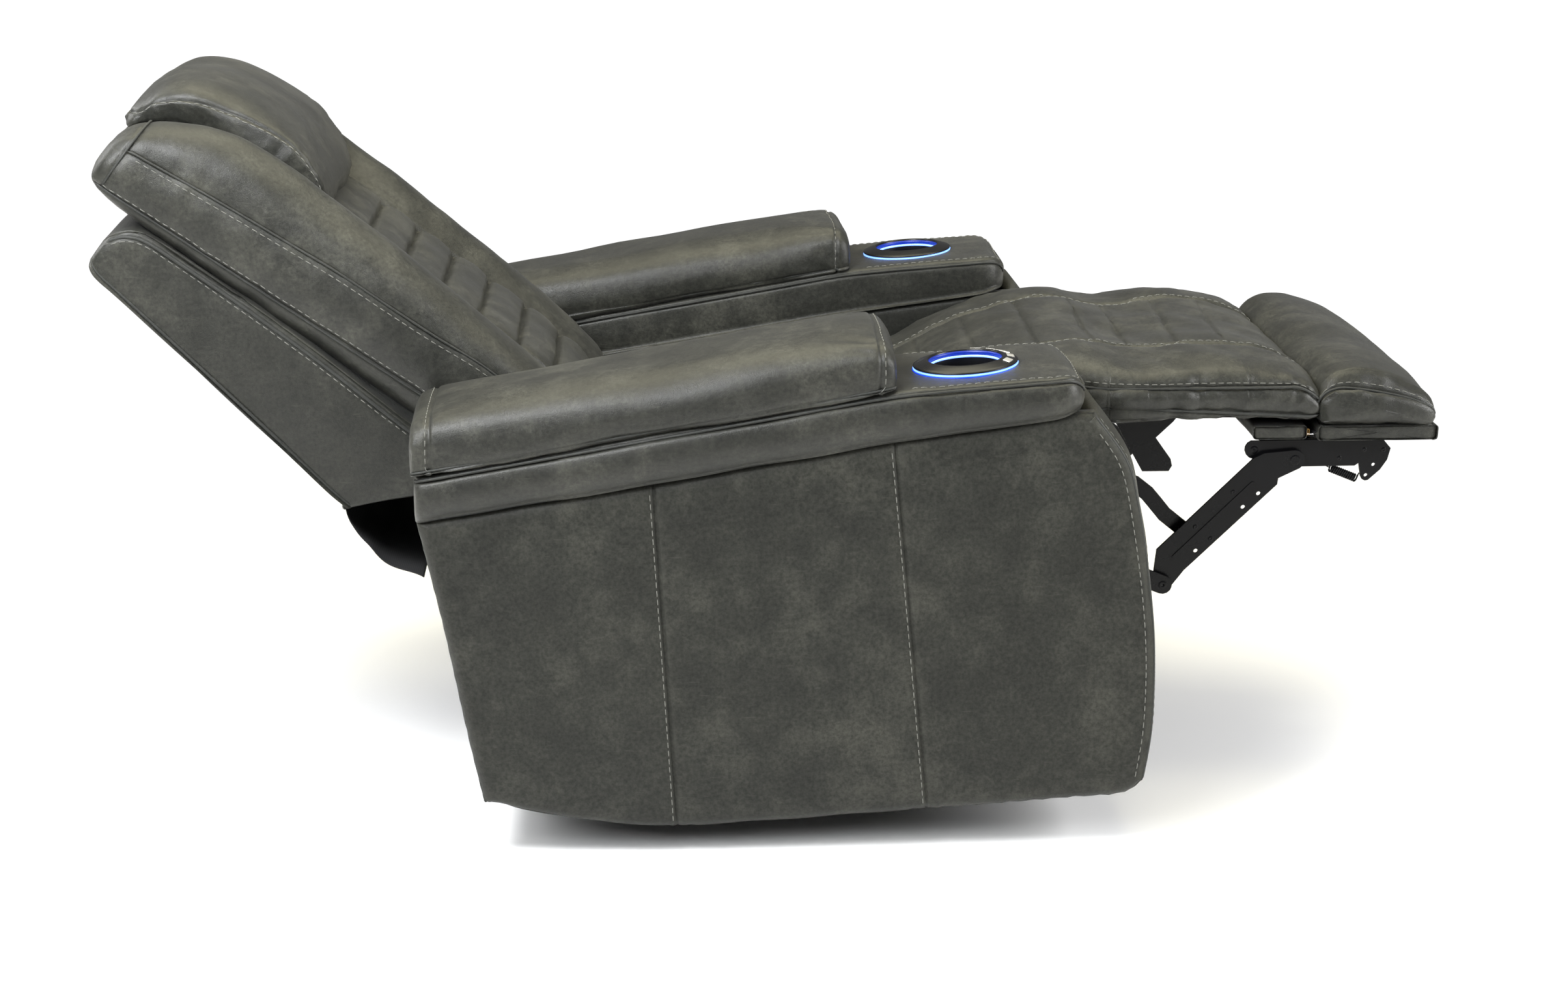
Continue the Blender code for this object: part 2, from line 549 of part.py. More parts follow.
def make_links(word, side):
    """The three moving links, each in its own layer."""
    bar = capsule(FRONT_PIVOT, KNEE_PIVOT, 0.012)
    ends = layer(side, FRONT_LINK_Y, SHEET)
    front = slab(f"front_link_{word}", "steel", bar, *ends, holes=[pivot_hole(FRONT_PIVOT)])
    join(front, pin_towards_middle(side, KNEE_PIVOT, FRONT_LINK_Y, MAIN_LINK_Y))

    # a wide pressed bar that narrows and bends level at its upper end, with a rib along it
    main = arc(KNEE_PIVOT, 0.0125, 160, 315, 7) + [(0.518, 0.2835), (0.6335, 0.3955), (0.6345, 0.4035)]
    main += arc(OTTOMAN_PIVOT, 0.0125, -60, 95, 7) + [(0.6154, 0.436), (0.602, 0.4295), (0.4825, 0.3113)]
    places = ((0.578, 0.3855), (0.531, 0.3406), (0.610, 0.3835), (0.591, 0.366))
    places += ((0.5325, 0.309), (0.551, 0.3254))
    holes = [circle(place, 0.003, 8) for place in places]
    ends = layer(side, MAIN_LINK_Y, SHEET)
    link = slab(f"main_link_{word}", "steel", main, *ends, holes=[pivot_hole(KNEE_PIVOT), *holes])
    proud = layer(side, MAIN_LINK_Y + SHEET / 2, SHEET / 2 + 0.0015)
    join(link, slab("rib", "steel", capsule((0.506, 0.3015), (0.602, 0.396), 0.0035), *proud))
    join(link, rod("rivet", "steel", *OTTOMAN_PIVOT, *proud, 0.0055))

    # a crooked bar that rises from its pivot before it dips behind the main link
    bends = ((0.365, 0.397), (0.430, 0.403), (0.464, 0.384), (0.487, 0.356))
    path = [(x, z - 0.010) for x, z in through([CROSS_PIVOT, *bends, CROSS_END], 2)]
    ends = layer(side, CROSS_LINK_Y, SHEET)
    cross = slab(f"cross_link_{word}", "steel", band(path, 0.020), *ends)
    join(cross, slab("eye", "steel", circle(CROSS_PIVOT, 0.0135), *ends))
    through_eye = layer(side, CROSS_LINK_Y - 0.01, 0.03)
    cut(cross, rod("pin_cut", "steel", *CROSS_PIVOT, *through_eye, PIN + RUNNING))


def hang(obj, empty):
    """Makes obj a child of the empty without moving it."""
    obj.parent = empty
    obj.matrix_parent_inverse = empty.matrix_world.inverted()


def joint_empty(name, place):
    empty = bpy.data.objects.new(f"{name}_axis", None)
    empty.empty_display_size = 0.05
    PARTS.objects.link(empty)
    empty.location = place
    bpy.context.view_layer.update()
    return empty


def hang_on_joints():
    """Hangs each moving piece on an empty on its joint's axis, and all but the base on the rocking axis."""
    pieces = [obj for obj in PARTS.objects if not obj.name.startswith("base_")]
    rock = joint_empty("rock", ROCK_AXIS)
    for name, (place, starts) in MOVING.items():
        empty = joint_empty(name, place)
        for obj in [obj for obj in pieces if obj.name.startswith(starts)]:
            hang(obj, empty)
        hang(empty, rock)
    for obj in [obj for obj in pieces if obj.parent is None]:
        hang(obj, rock)


def main():
    make_base()
    make_rockers()
    make_mechanism()
    for word, side in SIDES.items():
        make_arm(word, side)
        make_lid(word, side)
        cup = make_cup_holder(word, side)
        if word == "right":
            make_controls(cup, side)
        make_links(word, side)
    make_seat()
    make_drive()
    make_backrest()
    make_headrest()
    make_leg_rest()
    hang_on_joints()


clear_scene()
PARTS = new_collection("power_recliner_armchair")
CUTTERS = new_collection("cutters", hidden=True)
main()
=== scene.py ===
"""Looks for the power recliner armchair: padded leather, stitching, linkage finishes, light and camera."""

import math

import bpy
import numpy as np
from mathutils import Matrix, Vector, noise
from mathutils.bvhtree import BVHTree


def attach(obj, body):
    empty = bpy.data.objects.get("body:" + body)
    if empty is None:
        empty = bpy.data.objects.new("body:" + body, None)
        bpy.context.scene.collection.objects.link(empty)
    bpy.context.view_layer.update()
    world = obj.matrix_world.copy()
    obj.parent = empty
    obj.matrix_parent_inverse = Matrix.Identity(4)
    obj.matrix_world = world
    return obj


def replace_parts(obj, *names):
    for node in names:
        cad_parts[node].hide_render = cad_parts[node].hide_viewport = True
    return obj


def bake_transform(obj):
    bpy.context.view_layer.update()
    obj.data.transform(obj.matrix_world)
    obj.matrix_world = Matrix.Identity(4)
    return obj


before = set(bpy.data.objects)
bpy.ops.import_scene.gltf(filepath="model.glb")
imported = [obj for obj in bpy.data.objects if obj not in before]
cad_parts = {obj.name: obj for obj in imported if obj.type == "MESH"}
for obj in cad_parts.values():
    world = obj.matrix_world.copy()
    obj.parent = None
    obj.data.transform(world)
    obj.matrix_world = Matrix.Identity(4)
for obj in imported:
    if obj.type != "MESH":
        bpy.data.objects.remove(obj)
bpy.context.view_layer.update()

SIDES = {"right": -1, "left": 1}
HALF_WIDTH = 0.49
ARM_INNER = 0.28
BACK_ORIGIN = np.array([-0.31, 0.35])
BACK_ANGLE = math.radians(37)
DECK_TILT = math.atan2(0.015, 0.202)


# ---------------------------------------------------------------- materials


def new_material(name):
    made = bpy.data.materials.new(name)
    made.use_nodes = True
    return made, made.node_tree, made.node_tree.nodes["Principled BSDF"]


def node(tree, kind, inputs=None, **settings):
    made = tree.nodes.new(kind)
    for key, value in settings.items():
        setattr(made, key, value)
    for key, value in (inputs or {}).items():
        if isinstance(value, bpy.types.NodeSocket):
            tree.links.new(value, made.inputs[key])
        else:
            made.inputs[key].default_value = value
    return made


def noise_at(tree, vector, scale, detail=4.0, rough=0.55, distortion=0.0):
    """A noise texture's factor at a scale in features per metre."""
    inputs = {"Vector": vector, "Scale": scale, "Detail": detail, "Roughness": rough}
    inputs["Distortion"] = distortion
    return node(tree, "ShaderNodeTexNoise", inputs).outputs["Fac"]


def ramp(tree, factor, stops):
    made = node(tree, "ShaderNodeValToRGB", {"Fac": factor})
    elements = made.color_ramp.elements
    while len(elements) < len(stops):
        elements.new(0.5)
    for element, (place, colour) in zip(elements, stops):
        element.position = place
        element.color = (*colour, 1) if len(colour) == 3 else colour
    return made.outputs["Color"]


def grey(value):
    return (value, value, value)


def mask(tree, factor, low, high):
    """From 0 to 1 as the factor goes from low to high."""
    return ramp(tree, factor, [(low, grey(0)), (high, grey(1))])


def tint(tree, shader, factor, colour, *stops):
    """Base colour in shares of one colour. Each stop is (factor, share)."""
    shades = [(edge, tuple(c * share for c in colour)) for edge, share in stops]
    tree.links.new(ramp(tree, factor, shades), shader.inputs["Base Color"])


def settle(shader, values):
    """Sets a shader's unlinked inputs by name."""
    for key, value in values.items():
        shader.inputs[key].default_value = value


def object_place(tree):
    return node(tree, "ShaderNodeTexCoord").outputs["Object"]


def stretched(tree, place, scale, turn=(0, 0, 0)):
    """The place turned, and scaled by its own amount along each axis."""
    inputs = {"Vector": place, "Rotation": turn, "Scale": scale}
    return node(tree, "ShaderNodeMapping", inputs).outputs["Vector"]


def maths(tree, operation, a, b):
    made = node(tree, "ShaderNodeMath", operation=operation)
    for socket, value in zip(made.inputs, (a, b)):
        if isinstance(value, bpy.types.NodeSocket):
            tree.links.new(value, socket)
        else:
            socket.default_value = value
    return made.outputs[0]


def times(tree, a, b):
    return maths(tree, "MULTIPLY", a, b)


def mix(tree, factor, a, b, blend="MIX"):
    made = node(tree, "ShaderNodeMix", data_type="RGBA", blend_type=blend)
    for key, value in (("Factor", factor), ("A", a), ("B", b)):
        socket = next(s for s in made.inputs if s.name == key and s.enabled)
        if isinstance(value, bpy.types.NodeSocket):
            tree.links.new(value, socket)
        else:
            socket.default_value = value if isinstance(value, float) else (*value, 1)
    return next(s for s in made.outputs if s.enabled)


def bumped(tree, shader, layers):
    """Stacks (height, strength, distance) bumps onto the shader's normal."""
    normal = None
    for height, strength, distance in layers:
        bump = node(
            tree, "ShaderNodeBump", {"Height": height, "Strength": strength, "Distance": distance},
        )
        if normal is not None:
            tree.links.new(normal, bump.inputs["Normal"])
        normal = bump.outputs["Normal"]
    tree.links.new(normal, shader.inputs["Normal"])


SCRATCH_TURNS = ((0.5, 0.9), (-0.8, 0.3), (1.9, -0.6))
SCRATCH_STRETCH = (34, 260, 260)
GRAIN_PER_METRE = 620.0


def leather(name, dark, mid, light, roughness=0.39, specular=0.34, rubbed=0.30):
    """Pull-up leather: soft clouds, mottling, rubbed patches, fine scratches and a pebbled grain."""
    made, tree, shader = new_material(name)
    place = object_place(tree)
    clouds = noise_at(tree, place, 5.5, 4, 0.6, 0.15)
    mottle = noise_at(tree, place, 22, 8, 0.72, 0.3)
    blend = maths(tree, "ADD", times(tree, clouds, 0.45), times(tree, mottle, 0.55))
    colour = ramp(tree, blend, [(0.40, dark), (0.50, mid), (0.62, light)])
    patches = mask(tree, noise_at(tree, place, 14, 9, 0.78, 0.4), 0.50, 0.76)
    colour = mix(tree, times(tree, patches, rubbed), colour, light)
    fine = ramp(tree, noise_at(tree, place, 210, 5, 0.7), [(0.35, grey(0.62)), (0.65, grey(1.34))])
    colour = mix(tree, 1.0, colour, fine, "MULTIPLY")
    scratches = None
    for turn, lean in SCRATCH_TURNS:
        drawn = stretched(tree, place, SCRATCH_STRETCH, (turn, lean, turn * 0.7))
        line = mask(tree, noise_at(tree, drawn, 1.0, 2, 0.5, 0.35), 0.70, 0.80)
        scratches = line if scratches is None else maths(tree, "MAXIMUM", scratches, line)
    colour = mix(tree, times(tree, scratches, 0.35), colour, tuple(1.5 * c for c in light))
    worn = mask(tree, node(tree, "ShaderNodeNewGeometry").outputs["Pointiness"], 0.505, 0.60)
    colour = mix(tree, times(tree, worn, 0.45), colour, tuple(1.35 * c for c in light))
    tree.links.new(colour, shader.inputs["Base Color"])
    rough = maths(tree, "ADD", times(tree, mottle, 0.24), roughness - 0.10)
    tree.links.new(rough, shader.inputs["Roughness"])
    settle(shader, {"Specular IOR Level": specular, "Sheen Weight": 0.04, "Sheen Roughness": 0.5})
    cell_inputs = {"Vector": place, "Scale": GRAIN_PER_METRE}
    cells = node(tree, "ShaderNodeTexVoronoi", cell_inputs, feature="DISTANCE_TO_EDGE")
    layers = [(noise_at(tree, place, 48, 6, 0.62), 0.42, 0.0016)]
    layers.append((cells.outputs["Distance"], 0.5, 0.0006))
    layers.append((noise_at(tree, place, 1400, 2), 0.12, 0.0002))
    bumped(tree, shader, layers)
    return made


def plain(name, colour, roughness, metallic=0.0, grain=400.0, depth=0.00015, spread=0.12, specular=0.5):
    """A moulded, coated or sawn surface with a slight variation of its colour and gloss."""
    made, tree, shader = new_material(name)
    place = object_place(tree)
    large = noise_at(tree, place, 14, 5, 0.6)
    tint(tree, shader, large, colour, (0.35, 1 - spread), (0.65, 1 + spread))
    rough = maths(tree, "ADD", times(tree, large, 0.16), roughness - 0.08)
    tree.links.new(rough, shader.inputs["Roughness"])
    settle(shader, {"Metallic": metallic, "Specular IOR Level": specular})
    bumped(tree, shader, [(noise_at(tree, place, grain, 3), 0.3, depth)])
    return made


def wood_grain(name, pale, deep):
    """Sawn plywood with long soft grain lines."""
    made, tree, shader = new_material(name)
    place = object_place(tree)
    lines = noise_at(tree, stretched(tree, place, (7, 60, 110)), 1.0, 6, 0.6, 1.2)
    tree.links.new(ramp(tree, lines, [(0.35, pale), (0.65, deep)]), shader.inputs["Base Color"])
    settle(shader, {"Roughness": 0.62})
    bumped(tree, shader, [(lines, 0.25, 0.0006)])
    return made


def woven_cloth(name, colour, pitch=900.0):
    """A plain weave of crossing threads."""
    made, tree, shader = new_material(name)
    place = object_place(tree)
    waves = []
    for direction in ("X", "Y"):
        inputs = {"Vector": place, "Scale": pitch / 6.28, "Distortion": 0.4}
        wave = node(tree, "ShaderNodeTexWave", inputs, bands_direction=direction)
        waves.append(wave.outputs["Fac"])
    weave = times(tree, *waves)
    tint(tree, shader, weave, colour, (0.1, 0.6), (0.8, 1.5))
    settle(shader, {"Roughness": 0.9})
    bumped(tree, shader, [(weave, 0.4, 0.0003)])
    return made


def glowing(name, colour, strength):
    """Something that glows, a little brighter in spots: the frosted light guides where their diodes sit,
    and the painted glow of their light on the cup's wall and on the leather round the flange.
    """
    made, tree, shader = new_material(name)
    place = object_place(tree)
    dim = tuple(0.75 * c for c in colour)
    spots = ramp(tree, noise_at(tree, place, 60, 2), [(0.3, dim), (0.7, colour)])
    tree.links.new(spots, shader.inputs["Emission Color"])
    settle(shader, {"Emission Strength": strength, "Base Color": (*colour, 1), "Roughness": 0.4})
    return made


def thread_material(name, colour):
    """Twisted polyester thread."""
    made, tree, shader = new_material(name)
    place = object_place(tree)
    twist = noise_at(tree, place, 900, 2)
    tint(tree, shader, twist, colour, (0.3, 0.65), (0.7, 1.25))
    settle(shader, {"Roughness": 0.6})
    bumped(tree, shader, [(twist, 0.4, 0.0002)])
    return made


LEATHER = leather("leather", (0.0130, 0.0134, 0.0110), (0.0180, 0.0183, 0.0150), (0.036, 0.036, 0.0290))
# The panels' leather: a matter, rougher copy of the leather with stronger mottling, its darker shades
# painted lighter than the main leather's so the side faces look more brightly lit (painted light).
SIDE_SHADES_PAINTED_LIGHTER = ((0.0155, 0.0159, 0.0134), (0.0205, 0.0210, 0.0175), (0.036, 0.036, 0.0297))
SIDE_LEATHER_PAINTED_LIGHTER = leather("side_leather_painted_lighter", *SIDE_SHADES_PAINTED_LIGHTER, 0.46, 0.17, 0.35)
SEAM_SHADES = ((0.010, 0.011, 0.010), (0.016, 0.017, 0.015), (0.026, 0.027, 0.024))
DARK_LEATHER = leather("seam_leather", *SEAM_SHADES, 0.5)
# The thread is light grey; its colour here is set darker to stand in for the shade the stitches sit in down
# their seam grooves (painted shade).
SHADE_DARKENED_THREAD = thread_material("thread", (0.135, 0.135, 0.120))
STEEL = plain("powder_coated_steel", (0.0035, 0.0035, 0.004), 0.26, 0.0, 700, 0.0001, specular=0.14)
GLOSS_BLACK = plain(
    "gloss_black_plastic", (0.006, 0.006, 0.0065), 0.30, 0.0, 300, 0.00004, specular=0.3,
)
MATT_BLACK = plain("matt_black_plastic", (0.018, 0.018, 0.019), 0.55, 0.0, 900, 0.0002)
BRASS = plain("coated_staple", (0.42, 0.24, 0.07), 0.35, 0.8, 500, 0.00005)
SILVER = plain("silver_button", (0.50, 0.49, 0.46), 0.32, 0.4, 500, 0.00005)
DARK_WOOD = wood_grain("stained_board", (0.045, 0.040, 0.035), (0.022, 0.020, 0.018))
DUST_CLOTH = woven_cloth("dust_cloth", (0.012, 0.012, 0.013))
LIGHT_RING = glowing("light_ring", (0.18, 0.36, 1.0), 2.0)
# Painted light: a dim blue ring lying on the leather round the flange, standing in for the glow that the
# light under the flange spills there.
HALO_PAINTED_GLOW = glowing("halo_painted_glow", (0.0, 0.05, 0.9), 0.45)
LIGHT_LINE = glowing("light_line", (0.20, 0.36, 1.0), 2.4)
# Painted light: a strip of the cup's wall above the light line glows deep blue, as if lit by it.
WALL_PAINTED_LIT = glowing("wall_painted_lit", (0.0, 0.015, 0.22), 0.60)


# ---------------------------------------------------------------- forms


def curve_at(points, places, closed=False):
    """Catmull-Rom through rows of points, at fractional row numbers."""
    points = np.asarray(points, float)
    places = np.asarray(places, float)
    count = len(points)
    low = np.floor(places).astype(int)
    if not closed:
        low = np.clip(low, 0, count - 2)
    part = (places - low).reshape(-1, *([1] * (points.ndim - 1)))
    near = []
    for step in (-1, 0, 1, 2):
        row = (low + step) % count if closed else np.clip(low + step, 0, count - 1)
        near.append(points[row])
    a, b, c, d = near
    return b + 0.5 * part * (
        (c - a) + part * ((2 * a - 5 * b + 4 * c - d) + part * (3 * (b - c) + d - a))
    )


def ticks(spans, per, dense=(), gap=0.12):
    """Fractional row numbers: per to a span, with more close to the dense rows."""
    places = list(np.arange(0, spans * per + 1) / per)
    for row in dense:
        for reach in (gap, gap / 2, gap / 4):
            places += [row - reach, row + reach]
    places = sorted(p for p in places if 0 <= p <= spans)
    kept = [places[0]]
    for place in places[1:]:
        if place - kept[-1] > gap / 6:
            kept.append(place)
    kept[-1] = float(spans)
    return np.array(kept)


def lookup(table, x):
    """Linear interpolation in a table of (x, value)."""
    xs, ys = zip(*table)
    return np.interp(x, xs, ys)


def resample(path, step):
    """Points along a polyline at an even step."""
    path = np.asarray(path, float)
    lengths = np.concatenate([[0], np.cumsum(np.linalg.norm(np.diff(path, axis=0), axis=1))])
    count = max(2, int(round(lengths[-1] / step)) + 1)
    at = np.linspace(0, lengths[-1], count)
    return np.stack([np.interp(at, lengths, path[:, k]) for k in range(3)], axis=1)


def back(u, v, y):
    """A place on the reclined back: u up along it, v out of it, y across."""
    x = BACK_ORIGIN[0] - u * math.cos(BACK_ANGLE) + v * math.sin(BACK_ANGLE)
    z = BACK_ORIGIN[1] + u * math.sin(BACK_ANGLE) + v * math.cos(BACK_ANGLE)
    return (x, y, z)


def arm_top(x):
    return 0.476 + (x + 0.441) * 0.098 / 0.574


class Form:
    """A mesh under construction: points and faces, with moves along its normals."""

    def __init__(self, points, faces):
        self.points = np.asarray(points, float)
        self.faces = faces

    def groups(self):
        """The faces as one array of corners for each number of corners."""
        sizes = {}
        for face in self.faces:
            sizes.setdefault(len(face), []).append(face)
        return [np.array(faces) for faces in sizes.values()]

    def normals(self):
        total = np.zeros_like(self.points)
        for faces in self.groups():
            corners = self.points[faces]
            n = np.cross(corners[:, 1] - corners[:, 0], corners[:, -1] - corners[:, 0])
            if faces.shape[1] == 4:
                n = n + np.cross(corners[:, 3] - corners[:, 2], corners[:, 1] - corners[:, 2])
            for k in range(faces.shape[1]):
                np.add.at(total, faces[:, k], n)
        return total / np.maximum(np.linalg.norm(total, axis=1, keepdims=True), 1e-12)

    def near(self, path, step=0.004):
        """Each point's distance to a path, and how far along it."""
        line = resample(path, step)
        best = np.full(len(self.points), 9.0)
        along = np.zeros(len(self.points))
        for start in range(0, len(self.points), 4000):
            part = self.points[start : start + 4000]
            gaps = np.linalg.norm(part[:, None] - line[None], axis=2)
            rows = gaps.argmin(axis=1)
            best[start : start + 4000] = gaps[np.arange(len(part)), rows]
            along[start : start + 4000] = rows * step
        return best, along

    def groove(self, path, depth=0.003, width=0.004):
        gap, _ = self.near(path, width / 2)
        self.points -= self.normals() * (depth * np.exp(-((gap / width) ** 2)))[:, None]
        return self

    def pucker(self, path, height=0.0016, reach=0.02, wave=0.018, seed=0.0):
        """Gathers across a seam that fade with the distance from it."""
        gap, along = self.near(path)
        ripple = [noise.noise(Vector((s / wave, seed, d / 0.06))) for s, d in zip(along, gap)]
        fade = np.exp(-gap / reach) * (1 - np.exp(-gap / 0.004))
        self.points += self.normals() * (np.array(ripple) * height * 2 * fade)[:, None]
        return self

    def sewn(self, lines, seam, gathers, seed):
        """A groove of (depth, width) along each line, with gathers of (height, reach, wave)."""
        for k, line in enumerate(lines):
            self.groove(line, *seam).pucker(line, *gathers, seed + k)
        return self

    def undulate(self, height=0.0012, size=0.09, seed=0.0):
        shift = Vector((seed, seed * 1.7, -seed))
        lumps = [noise.noise(Vector(p) / size + shift) for p in self.points]
        self.points += self.normals() * (np.array(lumps) * height * 2)[:, None]
        return self

    def lift(self, amount):
        """Moves each point along its normal by its own amount."""
        self.points += self.normals() * np.asarray(amount)[:, None]
        return self

    def build(self, name, material):
        mesh = bpy.data.meshes.new(name)
        mesh.from_pydata(self.points.tolist(), [], [tuple(int(i) for i in f) for f in self.faces])
        mesh.materials.append(material)
        mesh.polygons.foreach_set("use_smooth", [True] * len(mesh.polygons))
        mesh.update()
        obj = bpy.data.objects.new(name, mesh)
        bpy.context.scene.collection.objects.link(obj)
        return obj


class Loft:
    """A skin over closed control sections: net[station][ring point]. Its ends close in domes."""

    def __init__(self, net, per_station=6, per_ring=6, seams=(), rings=(), domes=(0.0, 0.0)):
        self.net = np.asarray(net, float)
        self.stations = ticks(len(self.net) - 1, per_station, rings)
        self.ring = ticks(self.net.shape[1], per_ring, seams)[:-1]
        rows = curve_at(self.net, self.stations).transpose(1, 0, 2)
        self.grid = curve_at(rows, self.ring, closed=True).transpose(1, 0, 2)
        self.domes = domes

    def along(self, index, first=0.0, last=None, steps=80):
        """The line of one ring control point from station to station."""
        last = len(self.net) - 1 if last is None else last
        rows = curve_at(self.net, np.linspace(first, last, steps)).transpose(1, 0, 2)
        return curve_at(rows, [index], closed=True)[0]

    def around(self, station, first=0.0, last=None, steps=80):
        """The line of one station, from ring point to ring point."""
        last = self.net.shape[1] if last is None else last
        section = curve_at(self.net, [station])[0]
        return curve_at(section, np.linspace(first, last, steps), closed=True)

    def form(self, cap_rings=6):
        grid = self.grid
        count, around = grid.shape[:2]
        points = [grid.reshape(-1, 3)]
        faces = []
        for i in range(count - 1):
            for j in range(around):
                k = (j + 1) % around
                faces.append(
                    (i * around + j, i * around + k, (i + 1) * around + k, (i + 1) * around + j)
                )
        base = count * around
        for row, inward, dome in ((0, 1, self.domes[0]), (count - 1, -1, self.domes[1])):
            edge = grid[row]
            centre = edge.mean(axis=0)
            out = centre - grid[row + inward * 2].mean(axis=0)
            out /= max(np.linalg.norm(out), 1e-9)
            previous = np.arange(row * around, (row + 1) * around)
            for ring in range(1, cap_rings):
                scale = 1 - ring / cap_rings
                swell = dome * math.sqrt(1 - scale**2)
                points.append(centre + (edge - centre) * scale + out * swell)
                current = np.arange(base, base + around)
                base += around
                self.bridge(faces, previous, current, inward)
                previous = current
            points.append((centre + out * dome)[None])
            for j in range(around):
                pair = (previous[j], previous[(j + 1) % around])
                faces.append((*(pair if inward < 0 else pair[::-1]), base))
            base += 1
        return oriented(Form(np.concatenate(points), faces))

    @staticmethod
    def bridge(faces, previous, current, inward):
        around = len(previous)
        for j in range(around):
            k = (j + 1) % around
            face = (previous[j], previous[k], current[k], current[j])
            faces.append(face if inward < 0 else face[::-1])


def oriented(form):
    """The form with its faces turned outwards, judged by its volume."""
    volume = 0.0
    for faces in form.groups():
        corners = form.points[faces]
        for k in range(1, faces.shape[1] - 1):
            volume += np.sum(corners[:, 0] * np.cross(corners[:, k], corners[:, k + 1]))
    if volume < 0:
        form.faces = [tuple(reversed(face)) for face in form.faces]
    return form


def sheet_form(grid, back_y):
    """An open grid of points closed with a flat back at y = back_y."""
    rows, columns = grid.shape[:2]
    front = grid.reshape(-1, 3)
    behind = front.copy()
    behind[:, 1] = back_y
    total = rows * columns
    faces = []
    for i in range(rows - 1):
        for j in range(columns - 1):
            a, b = i * columns + j, (i + 1) * columns + j
            faces.append((a, a + 1, b + 1, b))
            faces.append((total + b, total + b + 1, total + a + 1, total + a))
    rim = [i * columns for i in range(rows)]
    rim += [(rows - 1) * columns + j for j in range(1, columns)]
    rim += [i * columns + columns - 1 for i in range(rows - 2, -1, -1)]
    rim += [j for j in range(columns - 2, 0, -1)]
    for a, b in zip(rim, rim[1:] + rim[:1]):
        faces.append((a, b, total + b, total + a))
    return oriented(Form(np.concatenate([front, behind]), faces))


def grid_rim(grid):
    return np.concatenate([grid[:, 0], grid[-1, 1:], grid[-2::-1, -1], grid[0, -2:0:-1], grid[:1, 0]])


def tube_form(path, radius, sides=8, step=0.005):
    """A round cord along a path, with pointed ends."""
    line = resample(path, step)
    along = np.gradient(line, axis=0)
    along /= np.linalg.norm(along, axis=1, keepdims=True)
    side = np.cross(along, (0.123, 0.31, 0.94))
    side /= np.linalg.norm(side, axis=1, keepdims=True)
    other = np.cross(along, side)
    sizes = np.full(len(line), radius)
    sizes[0] = sizes[-1] = radius * 0.3
    turns = np.arange(sides) * 2 * math.pi / sides
    ring = np.cos(turns)[None, :, None] * side[:, None] + np.sin(turns)[None, :, None] * other[:, None]
    points = (line[:, None] + ring * sizes[:, None, None]).reshape(-1, 3)
    faces = [tuple(range(sides))]
    for i in range(len(line) - 1):
        for j in range(sides):
            k = (j + 1) % sides
            faces.append((i * sides + j, i * sides + k, (i + 1) * sides + k, (i + 1) * sides + j))
    faces.append(tuple(range(len(points) - 1, len(points) - sides - 1, -1)))
    return oriented(Form(points, faces))


def merged(forms):
    points, faces, base = [], [], 0
    for form in forms:
        points.append(form.points)
        faces += [tuple(int(i) + base for i in face) for face in form.faces]
        base += len(form.points)
    return Form(np.concatenate(points), faces)


def surface_of(obj):
    graph = bpy.context.evaluated_depsgraph_get()
    return BVHTree.FromObject(obj, graph)


STITCH = 0.0080
STITCH_GAP = 0.0026
THREAD_RADIUS = 0.00062


def smoothed(rows, reach):
    """Each row averaged with its neighbours up to reach away."""
    padded = np.pad(rows, ((reach, reach), (0, 0)), mode="edge")
    width = 2 * reach + 1
    return np.stack(
        [np.convolve(padded[:, k], np.ones(width) / width, "valid") for k in range(3)], axis=1,
    )


def laid_on(tree, rows, reach=0.03):
    """The rows of points brought onto a surface, with its normal at each."""
    hits = [tree.find_nearest(Vector(row), reach) for row in rows]
    hits = [hit for hit in hits if hit[0] is not None]
    return np.array([hit[0] for hit in hits]), np.array([hit[1] for hit in hits])


def stitch_forms(obj, path, shifts=(0.0,)):
    """Dashes of thread on obj's surface along a path, one row for each sideways shift."""
    tree = surface_of(obj)
    line, ups = laid_on(tree, resample(path, 0.0015))
    line, ups = smoothed(line, 4), smoothed(ups, 8)
    along = smoothed(np.gradient(line, axis=0), 4)
    sides = np.cross(ups, along)
    sides /= np.maximum(np.linalg.norm(sides, axis=1, keepdims=True), 1e-9)
    forms = []
    for shift in shifts:
        feet, above = laid_on(tree, line + sides * shift)
        forms += dashes(smoothed(feet, 2), above)
    return forms


